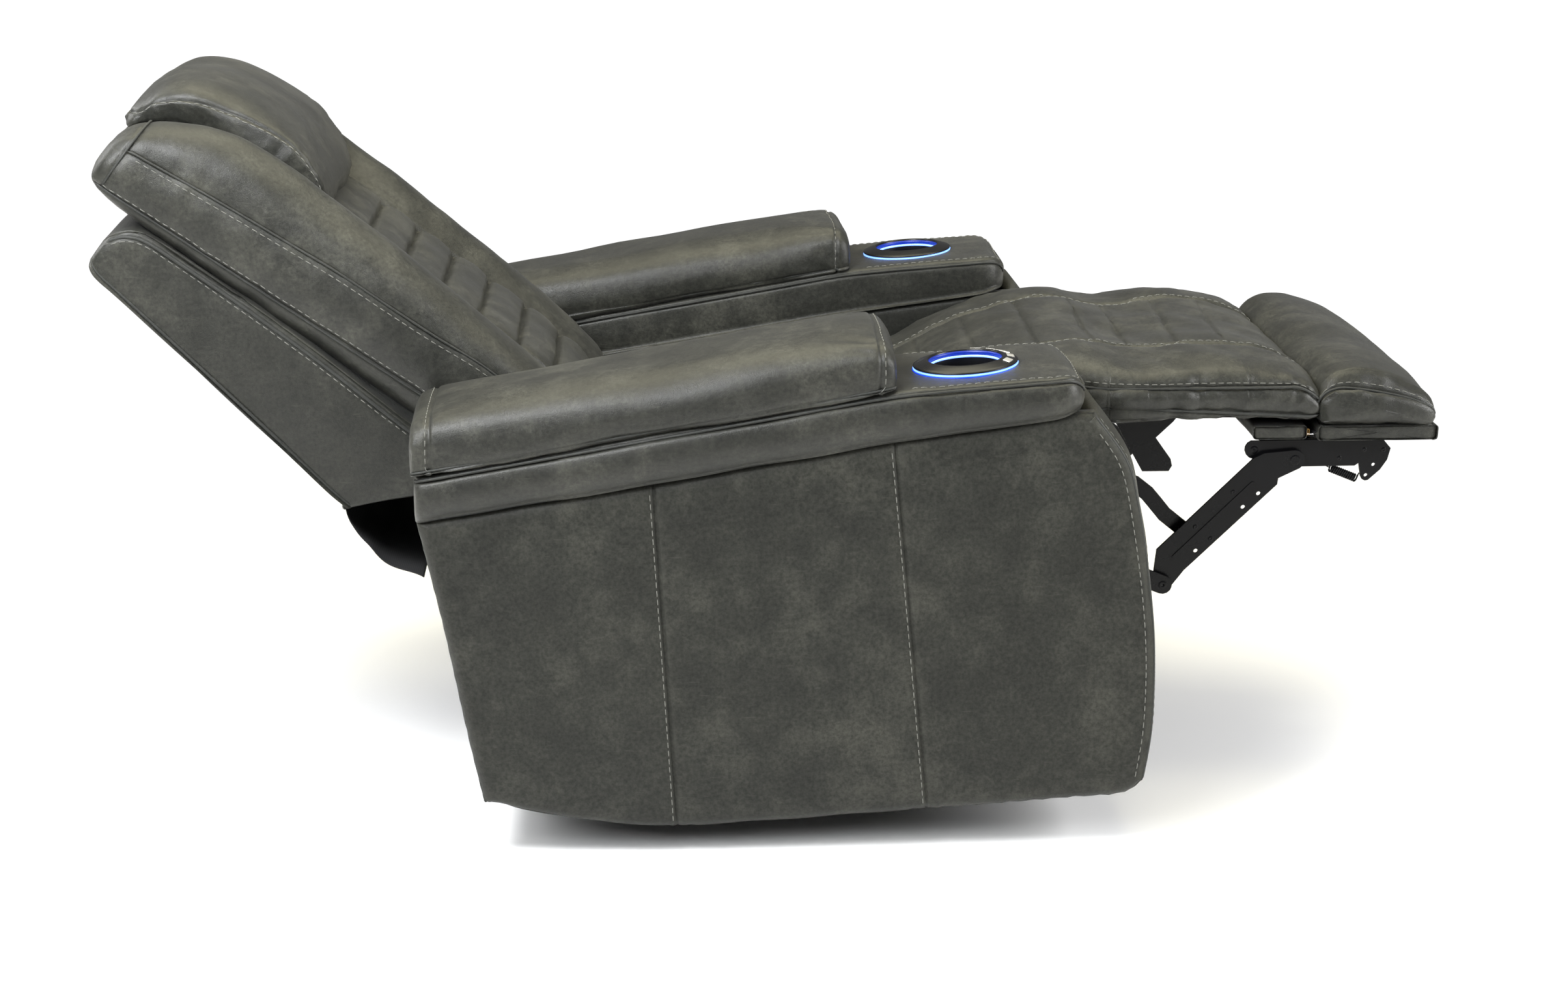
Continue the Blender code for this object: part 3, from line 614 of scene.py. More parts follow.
def dashes(feet, ups):
    """One flattened strand for each stitch along the row of feet."""
    lengths = np.concatenate([[0], np.cumsum(np.linalg.norm(np.diff(feet, axis=0), axis=1))])
    forms = []
    start = STITCH_GAP
    while start + STITCH < lengths[-1]:
        at = start + STITCH * np.array([0.0, 0.12, 0.5, 0.88, 1.0])
        middle = np.stack([np.interp(at, lengths, feet[:, k]) for k in range(3)], axis=1)
        up = ups[min(np.searchsorted(lengths, at[2]), len(ups) - 1)]
        along = middle[-1] - middle[0]
        along /= max(np.linalg.norm(along), 1e-9)
        side = np.cross(up, along)
        lifts = THREAD_RADIUS * np.array([-1.2, 0.25, 0.7, 0.25, -1.2])
        widths = THREAD_RADIUS * np.array([0.35, 0.9, 1.05, 0.9, 0.35])
        rings = []
        for turn in (0, 72, 144, 216, 288):
            c, s = math.cos(math.radians(turn)), math.sin(math.radians(turn))
            rings.append(middle + up * (lifts + widths * s)[:, None] + side * (widths * c)[:, None])
        points = np.stack(rings, axis=1).reshape(-1, 3)
        faces = [(4, 3, 2, 1, 0), (20, 21, 22, 23, 24)]
        for i in range(4):
            for j in range(5):
                k = (j + 1) % 5
                faces.append((i * 5 + j, i * 5 + k, i * 5 + 5 + k, i * 5 + 5 + j))
        forms.append(Form(points, faces))
        start += STITCH + STITCH_GAP
    return forms


def thread(name, rows, body):
    """All the stitches of one piece as one object. rows holds (obj, path, shifts)."""
    forms = []
    for obj, path, shifts in rows:
        forms += stitch_forms(obj, path, shifts)
    made = merged(forms).build(name, SHADE_DARKENED_THREAD)
    if body:
        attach(made, body)
    return made


def piping(name, paths, radius, body, material=None):
    made = merged([tube_form(path, radius) for path in paths]).build(name, material or DARK_LEATHER)
    if body:
        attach(made, body)
    return made


# ---------------------------------------------------------------- upholstery


def ring_section(x, rows, side):
    """Control points of a section across the arm at x, from (|y|, z) rows."""
    return [(x, side * y, z) for y, z in rows]


ROLL_UNDER = [(-0.436, 0.419), (-0.160, 0.464), (0.125, 0.511), (0.272, 0.530), (0.341, 0.5405)]
FRONT_EDGE = [
    (0.434, 0.084), (0.443, 0.152), (0.443, 0.252), (0.434, 0.340), (0.419, 0.428), (0.403, 0.486),
    (0.364, 0.541),
]
FOOT_EDGE = [
    (-0.3655, 0.0690), (-0.345, 0.0665), (-0.314, 0.0580), (-0.238, 0.0440), (-0.130, 0.0350),
    (0.168, 0.049), (0.330, 0.060), (0.410, 0.066), (0.434, 0.084),
]
REAR_EDGE = [(-0.3655, 0.0690), (-0.3835, 0.157), (-0.4080, 0.290), (-0.4358, 0.419)]
TUCK = 0.003
PANEL_SEAMS = (((-0.1325, 0.034), (-0.1575, 0.462)), ((0.171, 0.051), (0.127, 0.511)))


def smooth_line(points, steps=24):
    """Evenly spaced points through (x, z) control points."""
    rows = [(x, 0, z) for x, z in points]
    fine = curve_at(rows, np.linspace(0, len(points) - 1, 120))
    lengths = np.concatenate([[0], np.cumsum(np.linalg.norm(np.diff(fine, axis=0), axis=1))])
    at = np.linspace(0, lengths[-1], steps)
    return np.stack([np.interp(at, lengths, fine[:, k]) for k in (0, 2)], axis=1)


def edge_ticks(count, rim=0.014, length=0.4):
    """Places from 0 to 1 that crowd at both ends, for a rounded edge."""
    close = np.array([0, 0.0006, 0.002, 0.0045, 0.008, rim]) / length
    inner = np.linspace(close[-1], 1 - close[-1], count)
    return np.concatenate([close[:-1], inner, 1 - close[:-1][::-1]])


def coons(left, right, bottom, top, across, up):
    """A patch of (x, z) between four lines, at places across and up."""

    def at(line, places):
        rows = np.linspace(0, 1, len(line))
        return np.stack([np.interp(places, rows, line[:, k]) for k in (0, 1)], axis=1)

    le, ri, bo, to = at(left, up), at(right, up), at(bottom, across), at(top, across)
    s, t = across[:, None, None], up[None, :, None]
    patch = (1 - s) * le[None] + s * ri[None] + (1 - t) * bo[:, None] + t * to[:, None]
    corners = (1 - s) * (1 - t) * bo[0] + s * (1 - t) * bo[-1] + (1 - s) * t * to[0] + s * t * to[-1]
    return patch - corners


def foot_line(x0, x1, steps=40):
    xs = np.linspace(x0, x1, steps)
    fine = curve_at([(x, 0, z) for x, z in FOOT_EDGE], np.linspace(0, len(FOOT_EDGE) - 1, 200))
    return np.stack([xs, np.interp(xs, fine[:, 0], fine[:, 2])], axis=1)


def under_line(x0, x1, steps=40):
    xs = np.linspace(x0, x1, steps)
    return np.stack([xs, lookup(ROLL_UNDER + [(0.364, 0.541)], xs)], axis=1)


def face_grid(plane):
    """A plane of (x, z) as a grid at y = 0, its flat form, and each point's distance from the rim."""
    grid = np.zeros((*plane.shape[:2], 3))
    grid[..., 0], grid[..., 2] = plane[..., 0], plane[..., 1]
    flat = Form(grid.reshape(-1, 3), [])
    gap, _ = flat.near(grid_rim(grid), 0.003)
    return grid, flat, gap


def rolled(gap, radius):
    """How far an edge rounded to a radius falls back, at each distance from the rim."""
    return np.where(gap < radius, radius - np.sqrt(np.maximum(radius**2 - (radius - gap) ** 2, 0)), 0)


def make_outer_panel(word, side):
    """The arm's outer side in three sewn sections, with rolled edges."""
    seams = [np.array([low, high]) for low, high in PANEL_SEAMS]
    rear, front = smooth_line(REAR_EDGE), smooth_line(FRONT_EDGE)
    columns = [rear, seams[0], seams[1], front]
    up = edge_ticks(34)
    patches = []
    for i, (left, right) in enumerate(zip(columns, columns[1:])):
        across = np.linspace(0, 1, 27)
        close = np.array([0.0015, 0.004, 0.008, 0.014]) / 0.28
        across = np.unique(np.concatenate([across, close, 1 - close]))
        lows, highs = (left[0][0], right[0][0]), (left[-1][0], right[-1][0])
        patch = coons(left, right, foot_line(*lows), under_line(*highs), across, up)
        patches.append(patch if i == 0 else patch[1:])
    plane = np.concatenate(patches)
    plane[..., 1] += TUCK * up**12
    grid, flat, gap = face_grid(plane)
    inset = rolled(gap, 0.013)
    crown = 0.0045 * (1 - np.exp(-gap / 0.05))
    seam_lines = [np.array([(x, 0, z) for x, z in seam]) for seam in PANEL_SEAMS]
    for line in seam_lines:
        away, _ = flat.near(line, 0.001)
        crown -= 0.0034 * np.exp(-((away / 0.0018) ** 2)) + 0.0018 * np.exp(-away / 0.018)
    waves = np.array([noise.noise(Vector((p[0] * 6, 3.1 * side, p[2] * 5))) for p in flat.points])
    crown += 0.0016 * waves
    grid[..., 1] = side * (HALF_WIDTH - 0.0035 - inset + crown).reshape(grid.shape[:2])
    form = sheet_form(grid, side * (HALF_WIDTH - 0.028))
    obj = form.build(f"arm_outer_leather_{word}", SIDE_LEATHER_PAINTED_LIGHTER)
    finish_soft(obj, [f"arm_outer_panel_{word}"], "chassis")
    rows = []
    for line in seam_lines:
        on_face = resample(line + (-0.0045, side * HALF_WIDTH, 0), 0.004)
        rows.append((obj, on_face, (0.0,)))
    inner = [(x - 0.011, side * HALF_WIDTH, z) for x, z in front[:-1]]
    rows.append((obj, np.array(inner), (0.0,)))
    return rows


def edge_panel(line, side, outwards, crown, sunk, reach=(0.2835, 0.4865)):
    """A crowned strip between the arm's two sides along a line of (x, z), and its grid of points."""
    tangent = np.gradient(line, axis=0)
    tangent /= np.linalg.norm(tangent, axis=1, keepdims=True)
    out = outwards * np.stack([tangent[:, 1], -tangent[:, 0]], axis=1)
    close, far = [0, 0.004, 0.012, 0.03, 0.06], [0.94, 0.97, 0.988, 0.996, 1]
    across = np.concatenate([close, np.linspace(0.1, 0.9, 19), far])
    low, high = reach
    grid = np.zeros((len(across), len(line), 3))
    for i, s in enumerate(across):
        lift = crown * (1 - abs(2 * s - 1) ** 3.2) - sunk
        grid[i, :, 0] = line[:, 0] + out[:, 0] * lift
        grid[i, :, 2] = line[:, 1] + out[:, 1] * lift
        grid[i, :, 1] = side * (low + (high - low) * s)
    behind = grid.copy()
    behind[..., 0] -= 0.020 * out[None, :, 0]
    behind[..., 2] -= 0.020 * out[None, :, 1]
    closed = sheet_form(grid, 0.0)
    closed.points[len(grid.reshape(-1, 3)) :] = behind.reshape(-1, 3)
    return oriented(closed).undulate(0.0009, 0.07, 2.0 + side), grid


def make_front_panel(word, side):
    """The crowned strip that faces forward between the two side panels."""
    form, grid = edge_panel(smooth_line(FRONT_EDGE, 60), side, 1, 0.011, 0.0025)
    obj = form.build(f"arm_front_leather_{word}", SIDE_LEATHER_PAINTED_LIGHTER)
    finish_soft(obj, [f"arm_front_panel_{word}"], "chassis")
    edges = [grid[2], grid[-3]]
    piping(f"arm_front_welt_{word}", [resample(e, 0.006) for e in edges], 0.0021, "chassis")
    return [(obj, grid[4], (0.0,)), (obj, grid[-5], (0.0,))]


def make_rear_panel(word, side):
    """The leather that closes the arm behind, just inside the rear edges of its sides."""
    form, grid = edge_panel(smooth_line(REAR_EDGE, 40), side, -1, 0.004, 0.0085, (0.2970, 0.4645))
    obj = form.build(f"arm_rear_leather_{word}", SIDE_LEATHER_PAINTED_LIGHTER)
    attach(obj, "chassis")
    piping(f"arm_rear_welt_{word}", [resample(grid[row], 0.006) for row in (2, -3)], 0.0021, "chassis")


ROLL_STATIONS = [
    -0.4375, -0.434, -0.424, -0.39, -0.30, -0.16, 0.0, 0.11, 0.18, 0.24, 0.295, 0.320, 0.337, 0.348,
    0.3545,
]

ROLL_TOP = [
    (-0.441, 0.476), (0.133, 0.574), (0.320, 0.588), (0.337, 0.587), (0.348, 0.580),
    (0.3545, 0.568),
]


def roll_top(x):
    return lookup(ROLL_TOP, x)


def roll_inset(x):
    """How far the roll's two sides draw in at its rounded ends."""
    front = lookup([(0.28, 0), (0.320, 0.0015), (0.337, 0.007), (0.348, 0.020), (0.3545, 0.042)], x)
    return front + lookup([(-0.4375, 0.016), (-0.434, 0.006), (-0.424, 0.001), (-0.40, 0)], x)


def make_arm_roll(word, side):
    """The padded band round the arm's top, sewn to the deck along its upper edges."""
    net = []
    for x in ROLL_STATIONS:
        under = lookup(ROLL_UNDER, x) + 0.0006 + lookup([(0.32, 0), (0.348, 0.004), (0.3545, 0.010)], x)
        top = roll_top(x)
        tall = top - under
        draw = roll_inset(x)
        rows = [
            (0.2835 + draw, under), (0.385, under - 0.0002), (0.478 - draw, under),
            (0.4885 - draw, under + 0.0035), (0.4962 - draw, under + 0.25 * tall),
            (0.4985 - draw, under + 0.52 * tall), (0.4955 - draw, under + 0.80 * tall),
            (0.4902 - draw, top - 0.0048), (0.4835 - draw, top - 0.0005),
            (0.462 - draw, top + 0.0008), (0.385, top + 0.0012), (0.308 + draw, top + 0.0008),
            (0.2895 + draw, top - 0.0005), (0.2820 + draw, top - 0.0055),
            (0.2806 + draw, under + 0.75 * tall), (0.2796 + draw, under + 0.4 * tall),
            (0.2810 + draw, under + 0.005),
        ]
        net.append(ring_section(x, rows, side))
    skin = Loft(net, 6, 4, seams=(7, 13), domes=(0.002, 0.003))
    form = cut_form(skin.form(), (well_cutter(side), bore_cutter(side)))
    outer, inner = skin.along(7, 0.4, 13.6, 160), skin.along(13, 0.4, 13.6, 160)
    nose = skin.around(13.6, 7, 13, 50)
    seam = np.concatenate([outer, nose[1:-1], inner[::-1]])
    form.groove(seam, 0.0030, 0.0030).pucker(outer, 0.0010, 0.016, 0.022, side)
    form.undulate(0.0011, 0.08, 5.0 + side)
    obj = form.build(f"arm_roll_leather_{word}", LEATHER)
    finish_soft(obj, [f"arm_roll_{word}"], "chassis")
    piping(f"arm_roll_welt_{word}", [seam[2:-2]], 0.0019, "chassis")
    deck_outer = skin.along(8.3, 7.4, 12.9, 60)
    deck_nose = skin.around(12.9, 8.3, 11.7, 40)
    deck_inner = skin.along(11.7, 7.4, 12.9, 60)
    deck = np.concatenate([deck_outer[:-3], deck_nose[2:-2], deck_inner[::-1][3:]])
    return [(obj, deck, (0.0,))]


def cut_form(form, cutters):
    """The form with the cutters' shapes taken out of it."""
    solid = form.build("cut", LEATHER)
    for cutter in cutters:
        modifier = solid.modifiers.new("Cut", "BOOLEAN")
        modifier.operation = "DIFFERENCE"
        modifier.object = cutter
    graph = bpy.context.evaluated_depsgraph_get()
    mesh = solid.evaluated_get(graph).to_mesh()
    left = Form([tuple(v.co) for v in mesh.vertices], [tuple(p.vertices) for p in mesh.polygons])
    for scrap in (solid, *cutters):
        bpy.data.objects.remove(scrap)
    return left


def box_object(name, low, high):
    """A box between two corners, with its faces outwards."""
    xs, ys, zs = zip(low, high)
    points = [(x, y, z) for x in xs for y in ys for z in zs]
    faces = [(0, 1, 3, 2), (4, 6, 7, 5), (0, 4, 5, 1), (2, 3, 7, 6), (0, 2, 6, 4), (1, 5, 7, 3)]
    return oriented(Form(points, faces)).build(name, LEATHER)


def well_cutter(side):
    low, high = sorted((side * 0.3142, side * 0.4558))
    return box_object("well_cutter", (-0.3362, low, 0.30), (0.0562, high, 0.70))


def cup_frame(side):
    height = 0.574 + (0.220 - 0.133) * math.tan(DECK_TILT)
    return Matrix.Translation((0.220, side * 0.385, height)) @ Matrix.Rotation(-DECK_TILT, 4, "Y")


def bore_cutter(side, radius=0.0477):
    turns = [i * math.pi / 24 for i in range(48)]
    points = [(radius * math.cos(t), radius * math.sin(t), z) for z in (-0.2, 0.1) for t in turns]
    faces = [tuple(range(47, -1, -1)), tuple(range(48, 96))]
    faces += [(i, (i + 1) % 48, 48 + (i + 1) % 48, 48 + i) for i in range(48)]
    obj = oriented(Form(points, faces)).build("bore_cutter", LEATHER)
    obj.matrix_world = cup_frame(side)
    return obj


PAD_STATIONS = [
    -0.4415, -0.4395, -0.434, -0.415, -0.395, -0.33, -0.20, -0.05, 0.05, 0.092, 0.108, 0.119,
    0.1262, 0.1290,
]


def pad_height(x):
    """The pad's thickness above its seam: lower and rounder at both ends."""
    table = [
        (-0.4415, 0.040), (-0.4395, 0.047), (-0.434, 0.052), (-0.415, 0.0555), (-0.395, 0.0565),
        (-0.33, 0.0565), (0.05, 0.0565), (0.092, 0.0555), (0.108, 0.052), (0.119, 0.045),
        (0.1262, 0.035), (0.1290, 0.024),
    ]
    return lookup(table, x)


def make_arm_pad(word, side):
    """The padded armrest, crowned over its length and capped at both ends."""
    lid = f"armrest_lid_{word}"
    net = []
    for x in PAD_STATIONS:
        low = arm_top(x) + 0.0018
        tall = pad_height(x)
        draw = lookup([(-0.4415, 0.008), (-0.4395, 0.003), (-0.434, 0.0005), (-0.415, 0)], x)
        draw += lookup([(0.108, 0), (0.119, 0.0015), (0.1262, 0.005), (0.1290, 0.011)], x)
        tall += 0.0094
        rows = [
            (0.290 + draw, low), (0.385, low), (0.4845 - draw, low), (0.4895 - draw, low + 0.0034),
            (0.4915 - draw, low + 0.22 * tall), (0.4920 - draw, low + 0.48 * tall),
            (0.4870 - draw, low + 0.74 * tall), (0.4720 - draw, low + 0.93 * tall),
            (0.446 - draw, low + 1.0 * tall), (0.385, low + 1.035 * tall),
            (0.324 + draw, low + 1.0 * tall), (0.299 + draw, low + 0.93 * tall),
            (0.2865 + draw, low + 0.74 * tall), (0.2825 + draw, low + 0.48 * tall),
            (0.2825 + draw, low + 0.22 * tall), (0.2850 + draw, low + 0.004),
        ]
        net.append(ring_section(x, rows, side))
    skin = Loft(net, 5, 5, rings=(3, 10), domes=(0.0015, 0.0015))
    form = skin.form()
    front = skin.around(10.15, 2.6, 16.4, 120)
    rear = skin.around(2.85, 2.6, 16.4, 120)
    form.sewn((front, rear), (0.0022, 0.0026), (0.0010, 0.020, 0.016), side)
    hems = [skin.along(row, 0.6, 12.6, 140) for row in (3, 15)]
    for k, line in enumerate(hems):
        form.pucker(line, 0.0016, 0.010, 0.022, 7.0 * k + side)
    form.undulate(0.0016, 0.11, 9.0 + side)
    obj = puffed(form, f"arm_pad_leather_{word}", LEATHER, (front, rear), 0.004)
    finish_soft(obj, [f"arm_pad_{word}", f"lid_board_{word}"], lid)
    piping(f"arm_pad_welt_{word}", hems, 0.0017, lid)
    rows = [(obj, front, (-0.0042,)), (obj, rear, (0.0042,))]
    thread(f"arm_pad_thread_{word}", rows, lid)


UPHOLSTERY = {
    "quality": 4,
    "mass": 0.4,
    "tension_stiffness": 40,
    "compression_stiffness": 40,
    "shear_stiffness": 12,
    "bending_stiffness": 2.0,
    "use_pressure": True,
    "uniform_pressure_force": 3.0,
    "vertex_group_mass": "seams",
    "pin_stiffness": 4.0,
}


def puffed(form, name, material, pinned, most, frames=14):
    """The form as an object, swollen a little by air pressure between its pinned seams."""
    obj = form.build(name, material)
    group = obj.vertex_groups.new(name="seams")
    held = np.zeros(len(form.points))
    for line in pinned:
        gap, _ = form.near(line, 0.004)
        held = np.maximum(held, np.clip(1.2 - gap / 0.007, 0, 1))
    for index in np.nonzero(held > 0.02)[0]:
        group.add([int(index)], float(held[index]), "REPLACE")
    cloth = obj.modifiers.new("Cloth", "CLOTH")
    for key, value in UPHOLSTERY.items():
        setattr(cloth.settings, key, value)
    cloth.settings.effector_weights.gravity = 0
    cloth.collision_settings.use_collision = False
    cloth.point_cache.frame_start, cloth.point_cache.frame_end = 1, frames
    scene = bpy.context.scene
    for number in range(1, frames + 1):
        scene.frame_set(number)
    swollen = obj.evaluated_get(bpy.context.evaluated_depsgraph_get()).to_mesh()
    after = np.array([v.co for v in swollen.vertices], float)
    obj.modifiers.clear()
    obj.vertex_groups.clear()
    scene.frame_set(1)
    moved = after - form.points
    lengths = np.linalg.norm(moved, axis=1, keepdims=True)
    moved *= np.minimum(1, most / np.maximum(lengths, 1e-9))
    form.points = form.points + moved
    obj.data.vertices.foreach_set("co", form.points.ravel())
    obj.data.update()
    return obj


def mirror_rows(rows, first, last):
    """Rows from the middle out on one side, continued back on the other side."""
    return rows + [(-y, h) for y, h in reversed(rows[first:last])]


BOLSTER_STATIONS = [
    -0.018, -0.012, 0.004, 0.04, 0.10, 0.17, 0.24, 0.31, 0.38, 0.435, 0.50, 0.56, 0.605, 0.640,
    0.662, 0.677, 0.6855, 0.6905,
]
CREST = [
    (-0.018, 0.118), (-0.012, 0.134), (0.004, 0.148), (0.04, 0.158), (0.10, 0.167), (0.24, 0.176),
    (0.38, 0.183), (0.50, 0.187), (0.56, 0.184), (0.605, 0.170), (0.640, 0.152), (0.662, 0.138),
    (0.677, 0.125), (0.686, 0.112), (0.6905, 0.098),
]
WING_TOP = [
    (-0.018, 0.108), (0.004, 0.130), (0.17, 0.137), (0.25, 0.132), (0.38, 0.128), (0.54, 0.115),
    (0.66, 0.102), (0.6905, 0.090),
]

BOLSTER_HEEL = [(0.66, 0.0), (0.677, 0.001), (0.6855, 0.006), (0.6905, 0.018)]
BOLSTER_UNDER = [
    (-0.018, 0.0465), (0.10, 0.038), (0.60, 0.0335), (0.650, 0.0345), (0.677, 0.042),
    (0.6855, 0.050), (0.6905, 0.064),
]
BOLSTER_WIDE = [
    (-0.018, -0.010), (0.004, -0.003), (0.20, -0.0025), (0.32, 0.0), (0.655, 0.0), (0.677, -0.004),
    (0.6855, -0.011), (0.6905, -0.026),
]
BOLSTER_SUNK = [(0.40, 0.0), (0.45, 0.008), (0.60, 0.008), (0.662, 0.003)]


def make_bolster(word, side):
    """One side of the back: a crowned roll with a sewn wing down its outer face."""
    net = []
    for u in BOLSTER_STATIONS:
        crest, top = lookup(CREST, u), lookup(WING_TOP, u)
        low = 0.0615 - (u - 0.219) * 0.038 + lookup(BOLSTER_HEEL, u)
        under, wide, sunk = (lookup(table, u) for table in (BOLSTER_UNDER, BOLSTER_WIDE, BOLSTER_SUNK))
        rows = [
            (0.1385, under), (0.205, under - 0.001), (0.258 + wide, under), (0.2735 + wide, low),
            (0.2800 + wide, low + 0.3 * (top - low)), (0.2805 + wide, low + 0.65 * (top - low)),
            (0.2750 + wide, top), (0.2660 + wide, top + 0.50 * (crest - top)),
            (0.242 + wide / 2, top + 0.86 * (crest - top)), (0.210, crest),
            (0.178, crest - 0.005 - sunk), (0.152, max(crest - 0.015 - sunk, 0.075)),
            (0.1395, max(crest - 0.032 - sunk, 0.070)), (0.1372, 0.066),
        ]
        net.append([back(u, v, side * y) for y, v in rows])
    skin = Loft(net, 5, 5, seams=(3, 6), domes=(0.004, 0.0015))
    form = skin.form()
    upper = skin.along(6, 1.2, 14.3, 200)
    lower = skin.along(3, 1.2, 15.0, 200)
    end = skin.around(14.35, 3.2, 10.5, 60)
    form.groove(upper, 0.0015, 0.0022).groove(lower, 0.0026, 0.0030)
    form.pucker(upper, 0.0014, 0.020, 0.017, side).pucker(lower, 0.0020, 0.016, 0.014, 3.0 * side)
    form.groove(end, 0.0022, 0.0028).pucker(end, 0.0012, 0.016, 0.016, 5.0 * side)
    form.undulate(0.0013, 0.10, 11.0 + side).undulate(0.0006, 0.035, 2.0)
    obj = puffed(form, f"back_bolster_leather_{word}", LEATHER, (upper, lower), 0.004)
    finish_soft(obj, [f"back_bolster_{word}"], "backrest")
    piping(f"back_bolster_welt_{word}", [lower, upper, end], 0.0014, "backrest")
    hem = skin.along(3.3, 1.2, 15.0, 200)
    below = skin.along(5.7, 1.2, 14.0, 200)
    thread(f"back_bolster_thread_{word}", [(obj, below, (0.0,)), (obj, hem, (0.0,))], "backrest")


def finish_soft(obj, replaced, body):
    """Hides the CAD nodes a padded piece stands for and attaches the piece to its body."""
    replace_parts(obj, *replaced)
    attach(obj, body)


TUFT_SEAMS = (0.077, 0.137, 0.198, 0.2565, 0.3160, 0.374)


def make_centre_cushion():
    """The sunken middle of the back: sewn tufts below a plain panel."""
    stations = [
        -0.018, -0.012, 0.004, 0.04, *TUFT_SEAMS, 0.42, 0.50, 0.58, 0.640, 0.662, 0.677, 0.686,
        0.6905,
    ]
    net = []
    for u in stations:
        top = min(0.1605, lookup(CREST, u) - 0.006)
        rows = [
            (0.0, 0.0455), (0.07, 0.0455), (0.130, 0.0460), (0.1390, 0.060),
            (0.1400, max(top - 0.028, 0.07)), (0.1375, top - 0.0085), (0.124, top - 0.0015),
            (0.066, top - 0.0006), (0.0, top),
        ]
        net.append([back(u, v, y) for y, v in mirror_rows(rows, 1, -1)])
    skin = Loft(net, 6, 5, rings=range(4, 10), domes=(0.004, 0.002))
    form = skin.form()
    seams = [skin.around(4 + k, 4.6, 11.4, 60) for k in range(len(TUFT_SEAMS))]
    away = np.full(len(form.points), 9.0)
    for seam in seams:
        gap, _ = form.near(seam, 0.003)
        away = np.minimum(away, gap)
    facing = form.normals()[:, [0, 2]] @ np.array([0.6018, 0.7986])
    lift = 0.0065 * (1 - np.exp(-away / 0.011)) - 0.0055 * np.exp(-((away / 0.004) ** 2)) - 0.004
    x, z = form.points[:, 0] - BACK_ORIGIN[0], form.points[:, 2] - BACK_ORIGIN[1]
    up_back = z * math.sin(BACK_ANGLE) - x * math.cos(BACK_ANGLE)
    tufted = np.clip((up_back - 0.02) / 0.03, 0, 1) * np.clip((0.405 - up_back) / 0.012, 0, 1)
    form.lift(lift * tufted * np.clip(facing, 0, 1))
    for k, seam in enumerate(seams):
        form.pucker(seam, 0.0011, 0.014, 0.015, 2.0 * k)
    form.undulate(0.0014, 0.06, 21.0)
    obj = form.build("back_centre_leather", LEATHER)
    finish_soft(obj, ["back_centre_cushion"], "backrest")


PILLOW_TOP = [
    (0.4340, 0.163), (0.4370, 0.170), (0.445, 0.180), (0.470, 0.196), (0.50, 0.2095),
    (0.5265, 0.2165), (0.575, 0.2170), (0.622, 0.211), (0.651, 0.2010), (0.677, 0.185),
    (0.689, 0.171), (0.696, 0.157), (0.6995, 0.142),
]
PILLOW_SEAM = [
    (0.4340, 0.159), (0.4370, 0.165), (0.445, 0.174), (0.4523, 0.1815), (0.4832, 0.1990),
    (0.5303, 0.2050), (0.5702, 0.2000), (0.6246, 0.1842), (0.6598, 0.1677), (0.680, 0.1463),
    (0.6885, 0.126), (0.6995, 0.116),
]
PILLOW_BASE = [
    (0.4340, 0.154), (0.60, 0.1500), (0.622, 0.147), (0.651, 0.138), (0.677, 0.117), (0.689, 0.101),
    (0.6995, 0.106),
]
PILLOW_HALF = [
    (0.4340, 0.128), (0.4370, 0.142), (0.445, 0.155), (0.460, 0.165), (0.480, 0.171), (0.50, 0.173),
    (0.65, 0.173), (0.677, 0.170), (0.689, 0.165), (0.6995, 0.150),
]


def make_head_pillow():
    """The head pillow: a crowned top panel over a gathered side strip."""
    net = []
    for u, top in PILLOW_TOP:
        seam, base, half = (lookup(table, u) for table in (PILLOW_SEAM, PILLOW_BASE, PILLOW_HALF))
        tall = seam - base
        rows = [
            (0.0, base), (0.10, base), (half - 0.012, base), (half + 0.001, base + 0.10 * tall),
            (half + 0.0045, base + 0.45 * tall), (half + 0.0030, base + 0.82 * tall), (half, seam),
            (half - 0.013, seam + 0.45 * (top - seam)), (half * 0.74, seam + 0.78 * (top - seam)),
            (half * 0.40, seam + 0.97 * (top - seam)), (0.0, top),
        ]
        net.append([back(u, v, y) for y, v in mirror_rows(rows, 1, -1)])
    skin = Loft(net, 6, 5, seams=(6, 14), domes=(0.002, 0.003))
    form = skin.form()
    near, far = skin.along(6, 0.7, 11.6, 160), skin.along(14, 0.7, 11.6, 160)
    for k, line in enumerate((near, far)):
        form.groove(line, 0.0026, 0.0028).pucker(line, 0.0020, 0.014, 0.014, 5.0 + k)
        strip = line - (0.018 * math.sin(BACK_ANGLE), 0.0, 0.018 * math.cos(BACK_ANGLE))
        form.pucker(strip, 0.0030, 0.013, 0.020, 9.0 + k)
    form.undulate(0.0016, 0.08, 31.0)
    obj = puffed(form, "head_pillow_leather", LEATHER, (near, far), 0.004)
    finish_soft(obj, ["head_pillow"], "headrest")
    thread("head_pillow_thread", [(obj, near, (-0.004,)), (obj, far, (0.004,))], "headrest")


